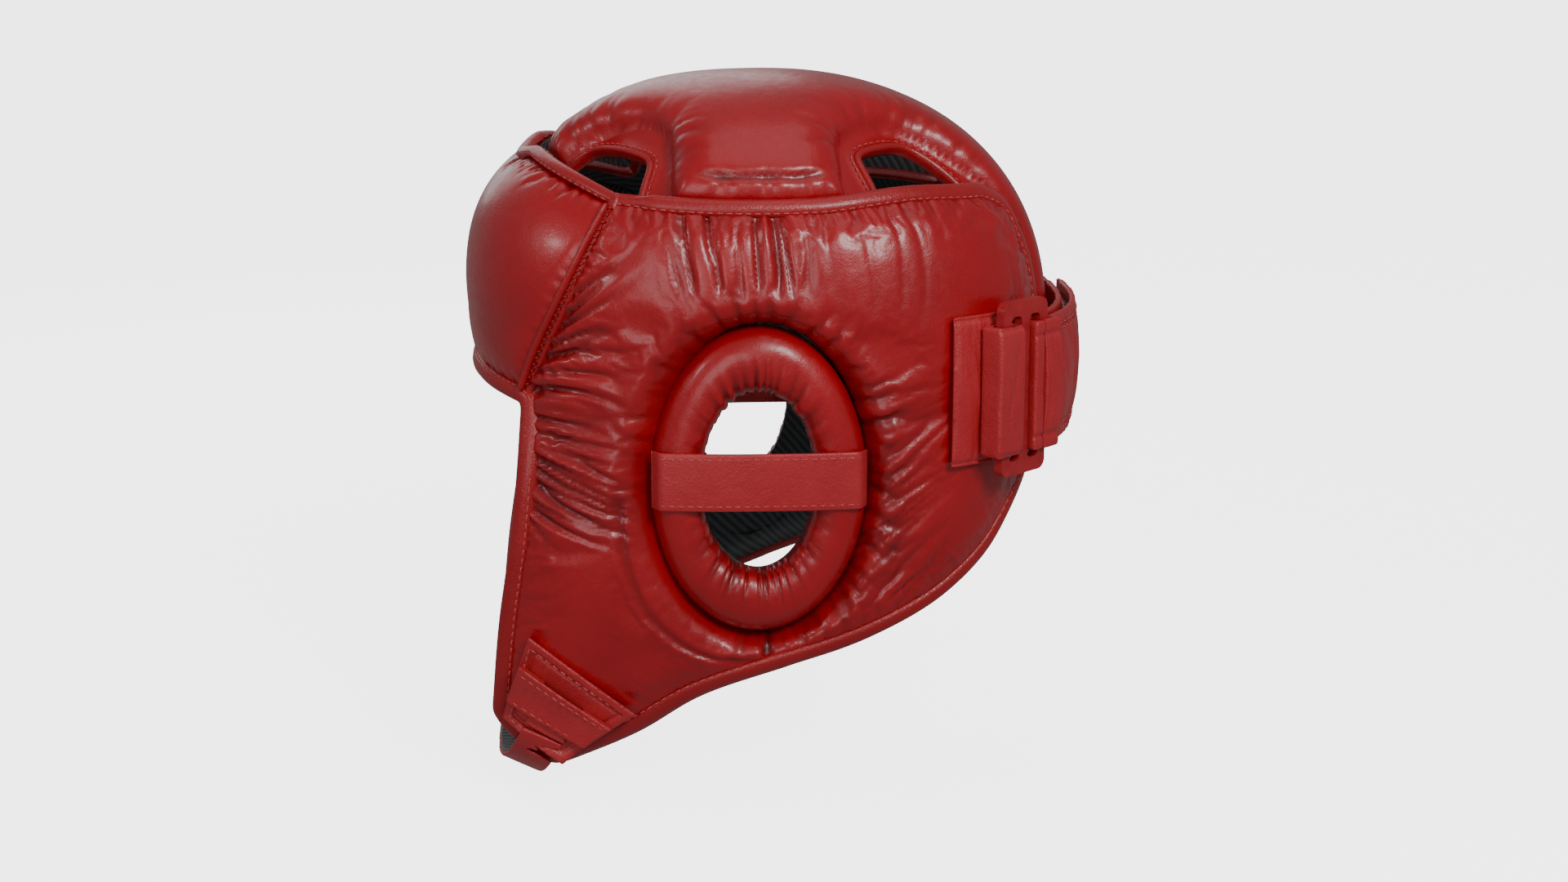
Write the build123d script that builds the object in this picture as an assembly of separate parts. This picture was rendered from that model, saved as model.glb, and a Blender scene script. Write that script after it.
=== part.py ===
"""Padded boxing headgear with a rear buckle strap and a chin strap.

Frame, millimetres: origin midway between the ear holes, +Z up, the face
opening towards -Y, the wearer's left towards +X.

Every pad is a slice of a shell between two head-shaped forms. A form is
given by its distance out from the lining's inner face, so the layers nest:
lining, foam core, leather skin, then patches and straps on top.
"""
import math
import os

from build123d import *

# ---------------------------------------------------------------- head form
# height, half width, front Y, back Y of the lining's inner face
HEAD_LEVELS = [
    (-150, 42, -126, 62),
    (-110, 55, -130, 82),
    (-60, 70, -126, 98),
    (0, 77, -112, 107),
    (31, 77.5, -94, 109),
    (60, 77, -92, 109),
]
BROW_Z = 60            # the dome starts at this height
DOME_RISE = 76         # dome height above BROW_Z
CENTRE_Y = 9           # Y of the widest section
SECTION_POWER = 2.4    # roundness of a level section
DOME_POWER = 2.3       # roundness of the dome's profile

# ------------------------------------------------------------- layer depths
LINING = 4.0           # lining thickness
BAND = 25.0            # band pad, lining face to leather face
BAND_FRONT = 6.0       # extra depth at the forehead
BAND_REAR = -8.0       # less depth at the back
CROWN = 22.0           # crown pad
CROWN_FRONT = -3.0
CROWN_REAR = -4.0
SKIN = 1.8             # leather thickness of the padded skins
RIM = 3.5              # width of the rolled bindings
RIM_DEPTH = 17.0       # a binding's outer face, from the lining face
GAP = 0.4              # clearance between separate bodies

# ------------------------------------------------------------ ear opening
EAR_Y, EAR_Z = -2.0, -1.0
RECESS = (45.0, 66.0)      # half axes of the recess in the side pad
RING_OUTER = (44.0, 64.5)
RING_HOLE = (23.0, 38.0)
RING_DEPTH = 21.0
EAR_STRAP_Z = (-10.0, 14.0)
EAR_STRAP_THICK = 2.4

# ------------------------------------------------------------- rear closure
STRAP_Z = (9.0, 63.0)
STRAP_IN, STRAP_OUT = 27.0, 30.0   # base strap, depths from the lining face
TAIL_IN, TAIL_OUT = 33.0, 36.0     # folded-back tail
STRAP_REAR = -6.5                  # the strap's form at the back
BUCKLE_ANGLE = 46.5                # plan angle of the buckle about the head
BUCKLE_LENGTH, BUCKLE_HEIGHT, BUCKLE_THICK = 28.0, 72.0, 4.0
BUCKLE_BAR = 5.0
BUCKLE_Z = 36.0
BUCKLE_LIFT = 0.6
TAIL_END_X = -16.0

# --------------------------------------------------------------- chin strap
# The strap is a ribbon in a plane tilted forwards; its path is (X, rise).
CHIN_ORIGIN = (0, -89, -106)
CHIN_TILT = 26.0
CHIN_WIDTH = 18.0
CHIN_LEATHER = 2.0
CHIN_LINING = 1.2
CHIN_START = -6.0                  # rise where the strap leaves its keeper
LONG_PATH = [(73.8, -6.2), (72.4, -10), (69.5, -15), (62, -22), (48, -28.5), (30, -32.5),
             (10, -34), (-12, -33.8), (-30, -31.3), (-44, -28), (-54, -24.3)]
TAB_PATH = [(-73.8, -6.2), (-72.2, -10), (-69, -14), (-61, -18), (-48, -22),
            (-30, -25), (-12, -26.2), (4, -25.5)]
TAB_HOOK = (-50, -12)
PATCH = [(-97, -67), (-53, -101), (-84, -125), (-109, -107)]
CHIN_ZONE = [(-100, -62), (-45, -95), (-80, -134), (-121, -112)]   # the chin end of a side pad
EDGE_GAP = 0.4                     # the straps pass this far below the pad's edge
KEEPER = [(-101, -80), (-107, -98), (-75, -116.5), (-63, -107)]
PATCH_DEPTH = 27.0

# ------------------------------------- outlines seen from the side, (Y, Z)
TOP_RUN = [(-150, 125), (-92, 122.5), (-75, 117.5), (-56, 112), (-20, 110),
           (20, 110), (60, 113), (90, 112), (106, 105), (120, 93), (150, 60)]
REAR_RUN = [(150, 60), (150, -2)]
LOWER_RUN = [(150, -2), (118, -7), (108, -25), (95, -42), (79, -55), (43, -73), (9, -84),
             (-26, -97), (-52, -114), (-82, -129)]
CHIN_RUN = [(-82, -129), (-113, -109)]
CHEEK_RUN = [(-113, -109), (-109, -65), (-103, -25), (-99, 5), (-96, 29)]
BROW_RUN = [(-96, 29), (-108, 32), (-119, 35), (-150, 36)]
FRONT_RUN = [(-150, 36), (-150, 125)]
SEAM = [(-56, 112), (-75, 79), (-88, 50), (-96, 29)]
REAR_EDGE_X = 38.0     # the side pads end this far from the middle

# ------------------------------------------- crown windows in plan, (X, Y)
FRONT_WINDOW = [(50, -34), (46, -43), (39, -52), (31, -59), (21, -64),
                (25, -76), (37, -70), (47, -62), (56, -50), (60, -36)]
REAR_WINDOW = [(32, 66), (38, 57), (45, 47), (51, 34),
               (61, 43), (56, 59), (48, 70), (40, 76.5), (32, 79)]
# the thick crown pad is cut away outside these lines
FRONT_CUT = [(17, -140), (17, -60), (28, -52), (36, -44), (42, -36), (47, -29), (140, -29), (140, -140)]
REAR_CUT = [(140, 27), (47, 27), (42, 41), (35, 51), (28, 59), (27, 66), (27, 150), (140, 150)]
ARM_HALF = 27.0        # half width of the rear arm
ARM_FOOT_Z = 12.0
TUCK = 17.0            # how far the crown runs down inside the band

nodes = {}


# ------------------------------------------------------------------ helpers
def head_level(z):
    """Half width, front and back of the head at a height below the dome."""
    for low, high in zip(HEAD_LEVELS, HEAD_LEVELS[1:]):
        if z <= high[0]:
            t = (z - low[0]) / (high[0] - low[0])
            return [low[i] + t * (high[i] - low[i]) for i in (1, 2, 3)]
    return HEAD_LEVELS[-1][1:]


def level_section(z, depth, front, rear):
    """A closed level face of the form, `depth` out from the lining face."""
    half, face, back = head_level(min(z, BROW_Z))
    scale = 1.0
    centre = CENTRE_Y
    if z > BROW_Z:
        t = (z - BROW_Z) / (DOME_RISE + depth)
        scale = (1 - t ** DOME_POWER) ** (1 / DOME_POWER)
        centre = CENTRE_Y - 8 * t
    half = (half + depth) * scale
    ahead = (CENTRE_Y - face + depth + front) * scale
    behind = (back - CENTRE_Y + depth + rear) * scale
    points = []
    for i in range(24):
        angle = 2 * math.pi * i / 24
        c = math.copysign(abs(math.cos(angle)) ** (2 / SECTION_POWER), math.cos(angle))
        s = math.copysign(abs(math.sin(angle)) ** (2 / SECTION_POWER), math.sin(angle))
        points.append((half * c, centre + s * (behind if s > 0 else ahead), z))
    return make_face(Spline(*points, periodic=True))


forms = {}


def form(depth, front=0.0, rear=0.0):
    """The solid head shape grown outwards by `depth`."""
    key = (depth, front, rear)
    if key not in forms:
        heights = [level[0] for level in HEAD_LEVELS]
        heights += [BROW_Z + u * (DOME_RISE + depth) for u in (0.2, 0.4, 0.7, 0.85, 0.94, 0.985)]
        sections = [level_section(z, depth, front, rear) for z in heights]
        forms[key] = loft(sections + [Vertex(0, 1, BROW_Z + DOME_RISE + depth)])
    return forms[key]


def band_form(depth):
    """A form inside the band: its extra front and rear depth grow with it."""
    share = (depth - LINING) / (BAND - LINING)
    return form(depth, BAND_FRONT * share, BAND_REAR * share)


def crown_form(depth):
    share = (depth - LINING) / (CROWN - LINING)
    return form(depth, CROWN_FRONT * share, CROWN_REAR * share)


def outline(*runs):
    """A flat face bounded by runs of points; long runs are smooth curves."""
    edges = []
    for run in runs:
        if len(run) > 3:
            edges.append(Spline(*run))
        else:
            edges.append(Polyline(*run))
    return make_face(edges)


def inset(runs, width):
    """The same runs moved inwards by `width`, corners mitred."""
    loop = [point for run in runs for point in run[:-1]]
    area = sum(a[0] * b[1] - b[0] * a[1] for a, b in zip(loop, loop[1:] + loop[:1]))
    turn = 1 if area > 0 else -1
    moved = []
    for i, (x, y) in enumerate(loop):
        before = loop[i - 1]
        after = loop[(i + 1) % len(loop)]
        first = unit(x - before[0], y - before[1])
        second = unit(after[0] - x, after[1] - y)
        normal = unit(-first[1] - second[1], first[0] + second[0])
        reach = turn * width / (normal[0] * -first[1] + normal[1] * first[0])
        moved.append((x + normal[0] * reach, y + normal[1] * reach))
    result = []
    start = 0
    for run in runs:
        stop = start + len(run)
        result.append([moved[i % len(moved)] for i in range(start, stop)])
        start = stop - 1
    return result


def unit(x, y):
    length = math.hypot(x, y)
    return x / length, y / length


def side_prism(face, x_low, x_high):
    """Extrude a (Y, Z) face along X."""
    return extrude(Plane.YZ.offset(x_low) * face, amount=x_high - x_low)


def plan_prism(face, z_low, z_high):
    return extrude(Plane.XY.offset(z_low) * face, amount=z_high - z_low)


def block(x, y, z):
    """A box from three (low, high) pairs."""
    size = [high - low for low, high in (x, y, z)]
    middle = [(high + low) / 2 for low, high in (x, y, z)]
    return Pos(*middle) * Box(*size)


def other_side(shape):
    return mirror(shape, about=Plane.YZ)


def softened(shape, radius, direction):
    """Round the edges of the outermost face along a direction."""
    body = max(shape.solids(), key=lambda s: s.volume)
    curved = [f for f in body.faces() if f.geom_type != GeomType.PLANE]
    outer = max(curved, key=lambda f: f.center().dot(Vector(*direction)))
    return fillet(outer.edges(), radius)


def keep(name, shape):
    """Store a node as one solid, dropping slivers left by a cut."""
    solids = sorted(shape.solids(), key=lambda s: -s.volume)
    nodes[name] = solids[0]
    print(name, len(solids), round(solids[0].volume), solids[0].is_valid)


def keep_pair(name, shape):
    keep(name + "_left", shape)
    keep(name + "_right", other_side(shape))


# ------------------------------------------------------------ band regions
BAND_RUNS = [TOP_RUN, REAR_RUN, LOWER_RUN, CHIN_RUN, CHEEK_RUN, BROW_RUN, FRONT_RUN]
band_face = outline(*BAND_RUNS)
band_inner_face = outline(*inset(BAND_RUNS, RIM))
seam_front = outline(SEAM, [SEAM[-1], (-150, 20), (-150, 140), (-66, 140), SEAM[0]])
rear_slot = block((-REAR_EDGE_X, REAR_EDGE_X), (60, 160), (-160, 160))
rear_slot_wide = block((-REAR_EDGE_X - RIM, REAR_EDGE_X + RIM), (60, 160), (-160, 160))

band_region = side_prism(band_inner_face, -140, 140)
front_region = side_prism(seam_front, -140, 140)
left_half = block((0, 140), (-160, 160), (-160, 160))

recess = Plane.YZ * (Pos(EAR_Y, EAR_Z) * Ellipse(*RECESS))
hole = Plane.YZ * (Pos(EAR_Y, EAR_Z) * Ellipse(*RING_HOLE))
recess_cut = extrude(recess, amount=140)
hole_cut = extrude(hole, amount=140)



def above_run(run, lift):
    """Everything above a run that is shifted up by `lift`."""
    low = [(y, z + lift) for y, z in run]
    box_top = [low[-1], (low[-1][0], 190), (low[0][0], 190)]
    return side_prism(outline(low, box_top, [box_top[-1], low[0]]), -140, 140)


above_tuck = above_run(TOP_RUN, -TUCK)
above_rim = above_run(TOP_RUN, 1.5)


# ---------------------------------------------------------------- band pads
piping_face = outline(SEAM, [SEAM[-1], (SEAM[-1][0] + 2.5, SEAM[-1][1])],
                      [(y + 2.5, z) for y, z in reversed(SEAM)],
                      [(SEAM[0][0] + 2.5, SEAM[0][1]), SEAM[0]])
piping_cut = side_prism(piping_face, -140, 140)
side_rest = front_region + piping_cut
foam_region = side_prism(outline(*inset(BAND_RUNS, RIM + SKIN)), -140, 140)

head = form(0)
lined = form(LINING)
band_full = band_form(BAND)
band_core = band_form(BAND - SKIN)

forehead_full = ((band_full & band_region) & front_region) - piping_cut
forehead_core = ((band_core & foam_region) & front_region) - piping_cut
keep("forehead_foam", forehead_core - lined)
keep("forehead_skin", (forehead_full - forehead_core) - lined)
seam_piping = (band_form(BAND + 1) & band_region) & piping_cut
keep_pair("seam_piping", (seam_piping - lined) & left_half)

recess_wall = extrude(Plane.YZ * (Pos(EAR_Y, EAR_Z) * Ellipse(RECESS[0] + SKIN, RECESS[1] + SKIN)),
                      amount=140)
edge = REAR_EDGE_X + RIM + SKIN
rear_wall = block((-edge, edge), (60, 160), (-160, 160))
side_full = (((band_full & band_region) & left_half) - side_rest) - rear_slot_wide
side_full = side_full - recess_cut
side_core = (((band_core & foam_region) & left_half) - side_rest) - rear_wall
side_core = side_core - recess_wall
keep_pair("side_foam", side_core - lined)
keep_pair("side_skin", (side_full - side_core) - lined)

lining_band = ((lined & band_region) - head) - above_tuck
keep("forehead_lining", lining_band & front_region)
side_lining = (lining_band & left_half) - front_region
keep_pair("side_lining", (side_lining - rear_slot_wide) - hole_cut)

# ---------------------------------------------------------------- bindings
rim_form = form(RIM_DEPTH, 4, -4)
inner_runs = inset(BAND_RUNS, RIM)


def rim_strip(index):
    """The strip between one run of the band outline and its inset."""
    run = BAND_RUNS[index]
    inner = inner_runs[index]
    return outline(run, [run[-1], inner[-1]], inner[::-1], [inner[0], run[0]])


def binding(indices):
    solid = side_prism(rim_strip(indices[0]), -140, 140)
    for index in indices[1:]:
        solid = solid + side_prism(rim_strip(index), -140, 140)
    return (rim_form & solid) - rear_slot


top_binding = binding([0])
keep("binding_top", top_binding - lined)
keep("binding_face", binding([4, 5]) - head)
lower_binding = binding([2, 3]) - head
keep_pair("binding_lower", lower_binding & left_half)
rear_binding = (rim_form & band_region) & block((REAR_EDGE_X, REAR_EDGE_X + RIM), (60, 160), (-160, 160))
keep_pair("binding_rear", (rear_binding - head) - (lined & above_tuck))

# --------------------------------------------------------------- ear opening
ring_full = form(RING_DEPTH) & extrude(Plane.YZ * (Pos(EAR_Y, EAR_Z) * Ellipse(*RING_OUTER)), amount=140)
ring_full = ring_full - hole_cut
ring_core_face = Ellipse(RING_OUTER[0] - SKIN, RING_OUTER[1] - SKIN) - Ellipse(RING_HOLE[0] + SKIN, RING_HOLE[1] + SKIN)
ring_core = form(RING_DEPTH - SKIN) & extrude(Plane.YZ * (Pos(EAR_Y, EAR_Z) * ring_core_face), amount=140)
ring_full = softened(ring_full, 8, (1, 0, 0))
ring_core = softened(ring_core, 6, (1, 0, 0))
keep_pair("ear_ring_foam", ring_core - lined)
keep_pair("ear_ring_skin", (ring_full - ring_core) - lined)
strap_block = block((50, 140), (EAR_Y - 43.5, EAR_Y + 43.5), EAR_STRAP_Z)
ear_strap = (form(RING_DEPTH + 0.2 + EAR_STRAP_THICK) & strap_block) - form(RING_DEPTH + 0.2)
keep_pair("ear_strap", ear_strap)

# --------------------------------------------------------------------- crown
def both_sides(points):
    """A plan cut on the left and its mirror on the right."""
    left = plan_prism(make_face(Polyline(*points, close=True)), 0, 200)
    return left + other_side(left)


def grown(points, width):
    return inset([points + [points[0]]], -width)[0][:-1]


windows = both_sides(FRONT_WINDOW) + both_sides(REAR_WINDOW)
window_rims = both_sides(grown(FRONT_WINDOW, 3)) + both_sides(grown(REAR_WINDOW, 3))
crown_cuts = both_sides(FRONT_CUT) + both_sides(REAR_CUT)
arm = block((-ARM_HALF, ARM_HALF), (60, 160), (ARM_FOOT_Z, 116))
edge = ARM_HALF - SKIN
arm_core = block((-edge, edge), (60, 160), (ARM_FOOT_Z + SKIN, 116))

crown_region = (above_rim - crown_cuts) + arm
crown_full = crown_form(CROWN) & crown_region
core_cuts = both_sides(grown(FRONT_CUT, SKIN)) + both_sides(grown(REAR_CUT, SKIN))
core_region = (Pos(0, 0, SKIN) * above_rim - core_cuts) + arm_core
crown_core = crown_form(CROWN - SKIN) & core_region
crown_full = softened(crown_full, 10, (0, 0, 1))
crown_core = softened(crown_core, 4, (0, 0, 1))
keep("crown_foam", crown_core - lined)
keep("crown_skin", (crown_full - crown_core) - lined)

crown_lining = (form(LINING - 0.04) & (above_tuck + arm)) - head
keep("crown_lining", crown_lining - window_rims)
window_binding = ((form(LINING + 3.5) & above_rim) + lined) & (window_rims - windows)
window_binding = window_binding - head
for solid in window_binding.solids():
    centre = solid.center()
    name = "window_binding_" + ("front" if centre.Y < 0 else "rear")
    keep(name + ("_left" if centre.X > 0 else "_right"), solid)

# -------------------------------------------------------------- rear closure
def strap_form(depth):
    return form(depth, 0.0, STRAP_REAR)


def strap_point(depth, angle):
    """Plan point of the strap's form at the buckle's height, and its normal."""
    half, _, back = head_level(BUCKLE_Z)
    a, b = half + depth, back - CENTRE_Y + depth + STRAP_REAR
    c, s = math.cos(math.radians(angle)), math.sin(math.radians(angle))
    x, y = a * c ** (2 / SECTION_POWER), b * s ** (2 / SECTION_POWER)
    nx, ny = x ** (SECTION_POWER - 1) / a ** SECTION_POWER, y ** (SECTION_POWER - 1) / b ** SECTION_POWER
    return (x, y + CENTRE_Y), unit(nx, ny)


(point_x, point_y), (normal_x, normal_y) = strap_point(STRAP_OUT + BUCKLE_LIFT, BUCKLE_ANGLE)
# local x towards the back along the strap, y up, z outwards
buckle_plane = Plane(origin=(point_x, point_y, BUCKLE_Z), x_dir=(-normal_y, normal_x, 0),
                     z_dir=(normal_x, normal_y, 0))
STRAP_LOW, STRAP_HIGH = STRAP_Z[0] - BUCKLE_Z, STRAP_Z[1] - BUCKLE_Z


def at_buckle(x, y, z):
    return buckle_plane * block(x, y, z)


half_length, half_height = BUCKLE_LENGTH / 2, BUCKLE_HEIGHT / 2
slot_out = half_length - BUCKLE_BAR
slot_in = BUCKLE_BAR / 2
frame = RectangleRounded(BUCKLE_LENGTH, BUCKLE_HEIGHT, 4)
for side in (-1, 1):
    slot = RectangleRounded(slot_out - slot_in, BUCKLE_HEIGHT - 12, 2)
    frame = frame - Pos(side * (slot_out + slot_in) / 2, 0) * slot
buckle = buckle_plane * extrude(frame, amount=BUCKLE_THICK)
keep("buckle", buckle)

strap_level = block((-140, 140), (60, 170), STRAP_Z)
clear_of_buckle = at_buckle((-80, half_length + 1.2), (-60, 60), (-60, 60))
base_shell = (strap_form(STRAP_OUT) & strap_level) - strap_form(STRAP_IN)
base = (base_shell - clear_of_buckle) - block((-140, 0), (60, 84), (0, 80))
sewn_end = (strap_form(STRAP_OUT) & block((-140, 0), (84, 96), STRAP_Z)) - band_form(BAND + 0.2)
keep("rear_strap", base + sewn_end)
loop_shell = strap_form(STRAP_OUT + 1.2) & block((-26, 48), (90, 170), (STRAP_Z[0] + 4, STRAP_Z[1] - 4))
keep("rear_strap_loop_patch", loop_shell - strap_form(STRAP_OUT))

thick = STRAP_OUT - STRAP_IN
fold_x = slot_in + 0.7
top_z = BUCKLE_THICK + 0.4
fold = at_buckle((fold_x, half_length + 0.8), (STRAP_LOW, STRAP_HIGH), (-0.4 - thick, -0.4))
fold = fold + at_buckle((fold_x, fold_x + thick), (STRAP_LOW, STRAP_HIGH), (-0.4 - thick, top_z + thick))
fold = fold + at_buckle((fold_x, 9), (STRAP_LOW, STRAP_HIGH), (top_z, top_z + thick))
keep("rear_strap_fold", fold)

tail = strap_form(TAIL_OUT) & block((TAIL_END_X, 140), (60, 170), STRAP_Z)
tail = (tail - strap_form(TAIL_IN)) - at_buckle((-80, half_length + 2.5), (-60, 60), (-60, 60))
tail = tail + at_buckle((9.4, half_length + 6), (STRAP_LOW, STRAP_HIGH), (top_z, top_z + thick))
keep("rear_strap_tail", tail)
hook = strap_form(TAIL_IN) & block((TAIL_END_X + 4, 44), (90, 170), (STRAP_Z[0] + 5, STRAP_Z[1] - 5))
keep("rear_strap_hook_patch", hook - strap_form(STRAP_OUT + 1.2 + GAP))

anchor = (form(BAND + 2.6, 0, STRAP_REAR) & block((40, 140), (76, 95), (5, 67))) - band_form(BAND + 0.2)
anchor = anchor - at_buckle((-30, 40), (-60, 60), (-3.3, 60))
keep("rear_anchor_left", anchor)
keeper = at_buckle((-19, -slot_in - 1.2), (STRAP_LOW, STRAP_HIGH), (-3.3, top_z + 2.6))
keeper = keeper - at_buckle((-half_length - 1.6, -slot_in - 3.2), (-60, 60), (-1, top_z + 0.6))
keep("rear_keeper_left", keeper)
cover = (strap_form(STRAP_OUT + 1.8) & block((-140, 0), (76, 96), (8, 66))) - strap_form(STRAP_OUT)
keep("rear_anchor_right", cover)

# ---------------------------------------------------------------- chin strap
tilt = math.radians(CHIN_TILT)
chin_plane = Plane(origin=CHIN_ORIGIN, x_dir=(1, 0, 0), z_dir=(0, -math.cos(tilt), math.sin(tilt)))


def ribbon(path, low, high):
    """A ribbon on a path, from `low` to `high` along the path's left side."""
    sides = []
    for reach in (low, high):
        points = []
        for i, (x, y) in enumerate(path):
            before, after = path[max(i - 1, 0)], path[min(i + 1, len(path) - 1)]
            along = unit(after[0] - before[0], after[1] - before[1])
            points.append((x - along[1] * reach, y + along[0] * reach))
        sides.append(points)
    near, far = sides
    face = outline(near, [near[-1], far[-1]], far[::-1], [far[0], near[0]])
    slab = extrude(face, amount=CHIN_WIDTH / 2, both=True)
    return chin_plane * slab


def chin_point(width, rise):
    """Side-view (Y, Z) of a point across and along the strap's plane."""
    y = CHIN_ORIGIN[1] + width * math.cos(tilt) + rise * math.sin(tilt)
    z = CHIN_ORIGIN[2] - width * math.sin(tilt) + rise * math.cos(tilt)
    return y, z


def chin_strip(half, low, high):
    corners = [chin_point(-half, low), chin_point(half, low), chin_point(half, high), chin_point(-half, high)]
    return side_prism(make_face(Polyline(*corners, close=True)), 40, 140)


# on the left path the right-hand side faces out; on the tab's, the left
patch_prism = side_prism(make_face(Polyline(*PATCH, close=True)), 30, 140)
chin_zone = side_prism(make_face(Polyline(*CHIN_ZONE, close=True)), 30, 140)
edge_zone = (Pos(0, -EDGE_GAP, -EDGE_GAP) * side_prism(band_face, 30, 140)) & chin_zone
under_patch = band_form(PATCH_DEPTH + GAP) & (Pos(0, -EDGE_GAP, -EDGE_GAP) * patch_prism)
under_edge = band_form(BAND + GAP) & edge_zone
keep("chin_strap", (ribbon(LONG_PATH, 0, CHIN_LEATHER) - under_patch) - under_edge)
keep("chin_strap_lining", ribbon(LONG_PATH[3:], -CHIN_LINING, 0))
tab = (ribbon(TAB_PATH, -1.1, 1.1) - other_side(under_patch)) - other_side(under_edge)
keep("chin_tab", tab)
hook_block = block(TAB_HOOK, (-170, -40), (-190, -60))
keep("chin_tab_hook_patch", ribbon(TAB_PATH, -2.1, -1.1) & hook_block)

keep_pair("chin_patch", (band_form(PATCH_DEPTH) & patch_prism) - band_form(BAND + 0.2))
root_strip = chin_strip(CHIN_WIDTH / 2, CHIN_START + 0.2, 10)
root = (band_form(PATCH_DEPTH + 3.2) & root_strip) - band_form(PATCH_DEPTH + 0.1)
keep_pair("chin_strap_root", root)
keeper_prism = side_prism(make_face(Polyline(*KEEPER, close=True)), 30, 140)
chin_keeper = (band_form(PATCH_DEPTH + 5) & keeper_prism) - band_form(PATCH_DEPTH)
channel = band_form(PATCH_DEPTH + 3.4) & chin_strip(CHIN_WIDTH / 2 + 0.5, -20, 40)
keep_pair("chin_keeper", chin_keeper - channel)

os.makedirs("parts", exist_ok=True)
for name, solid in nodes.items():
    export_step(solid, "parts/" + name + ".step")
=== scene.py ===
"""Looks for the boxing headgear. Lengths are millimetres until a mesh is made.

Every padded piece is drawn in the head form's own coordinates:
U, millimetres round the head from the wearer's left ear towards the back,
V, millimetres up from the brow line, and depth, out from the lining's face.
"""

import math

import bpy
import numpy as np
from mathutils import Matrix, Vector
from mathutils.geometry import delaunay_2d_cdt


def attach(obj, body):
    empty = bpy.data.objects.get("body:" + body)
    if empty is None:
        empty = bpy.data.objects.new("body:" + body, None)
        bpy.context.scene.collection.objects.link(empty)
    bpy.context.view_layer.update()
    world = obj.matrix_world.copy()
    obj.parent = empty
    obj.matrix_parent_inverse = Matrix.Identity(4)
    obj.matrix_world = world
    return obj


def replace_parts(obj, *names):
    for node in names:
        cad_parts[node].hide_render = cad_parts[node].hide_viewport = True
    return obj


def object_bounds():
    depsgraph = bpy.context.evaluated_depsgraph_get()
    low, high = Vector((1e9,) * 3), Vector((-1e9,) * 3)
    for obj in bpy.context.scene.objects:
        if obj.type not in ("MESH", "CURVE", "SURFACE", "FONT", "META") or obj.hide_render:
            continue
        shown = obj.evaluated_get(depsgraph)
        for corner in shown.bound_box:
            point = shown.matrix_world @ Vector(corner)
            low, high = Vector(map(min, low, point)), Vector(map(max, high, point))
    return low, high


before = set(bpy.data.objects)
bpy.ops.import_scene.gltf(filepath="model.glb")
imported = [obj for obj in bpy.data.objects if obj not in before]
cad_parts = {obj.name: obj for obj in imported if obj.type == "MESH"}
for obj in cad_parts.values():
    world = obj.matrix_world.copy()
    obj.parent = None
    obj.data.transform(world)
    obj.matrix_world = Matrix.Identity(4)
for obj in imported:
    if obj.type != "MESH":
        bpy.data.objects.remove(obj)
cad_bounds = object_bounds()
MM = 0.001

# ------------------------------------------------- head form, as in the CAD
HEAD_LEVELS = np.array([
    (-150, 42, -126, 62),
    (-110, 55, -130, 82),
    (-60, 70, -126, 98),
    (0, 77, -112, 107),
    (31, 77.5, -94, 109),
    (60, 77, -92, 109),
], float)
BROW_Z = 60.0
DOME_RISE = 76.0
CENTRE_Y = 9.0
SECTION_POWER = 2.4
DOME_POWER = 2.3
BAND, BAND_FRONT, BAND_REAR = 25.0, 6.0, -8.0
CROWN, CROWN_FRONT, CROWN_REAR = 22.0, -3.0, -4.0
LINING = 4.0
UNROLL = 100.0        # V and the crown's P and Q are angles times this radius

REAR_EDGE_X = 38.0
EAR_Y, EAR_Z = -2.0, -1.0
RECESS = (45.0, 66.0)
RING_OUTER = (44.0, 64.5)
RING_HOLE = (23.0, 38.0)


# --------------------------------------------------------------- the form
def head_level(z):
    """Half width, front and back of the lining face at heights, smoothly."""
    levels = HEAD_LEVELS[:, 0]
    z = np.clip(z, levels[0], levels[-1])
    i = np.clip(np.searchsorted(levels, z) - 1, 0, len(levels) - 2)
    step = levels[i + 1] - levels[i]
    t = (z - levels[i]) / step
    values = []
    for column in (1, 2, 3):
        data = HEAD_LEVELS[:, column]
        slope = np.gradient(data, levels)
        slope[-1] = 0
        h00 = 2 * t ** 3 - 3 * t ** 2 + 1
        h10 = t ** 3 - 2 * t ** 2 + t
        h01 = 3 * t ** 2 - 2 * t ** 3
        h11 = t ** 3 - t ** 2
        values.append(h00 * data[i] + h10 * step * slope[i]
                      + h01 * data[i + 1] + h11 * step * slope[i + 1])
    return values


def power_norm(a, b, power):
    """1 on a superellipse of this power."""
    return (np.abs(a) ** power + np.abs(b) ** power) ** (1 / power)


def leg(a, power):
    """The other coordinate of a superellipse's point."""
    return (1 - a ** power) ** (1 / power)


def section_radius(psi):
    return 1 / power_norm(np.sin(psi), np.cos(psi), SECTION_POWER)


ANGLES = np.linspace(-1.5 * math.pi, 1.5 * math.pi, 3001)
_x = 95 * section_radius(ANGLES) * np.cos(ANGLES)
_y = np.where(np.sin(ANGLES) > 0, 114, 125) * section_radius(ANGLES) * np.sin(ANGLES)
LENGTHS = np.concatenate([[0], np.cumsum(np.hypot(np.diff(_x), np.diff(_y)))])
LENGTHS -= LENGTHS[1500]
FRONT_U = float(np.interp(-math.pi / 2, ANGLES, LENGTHS))


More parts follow.
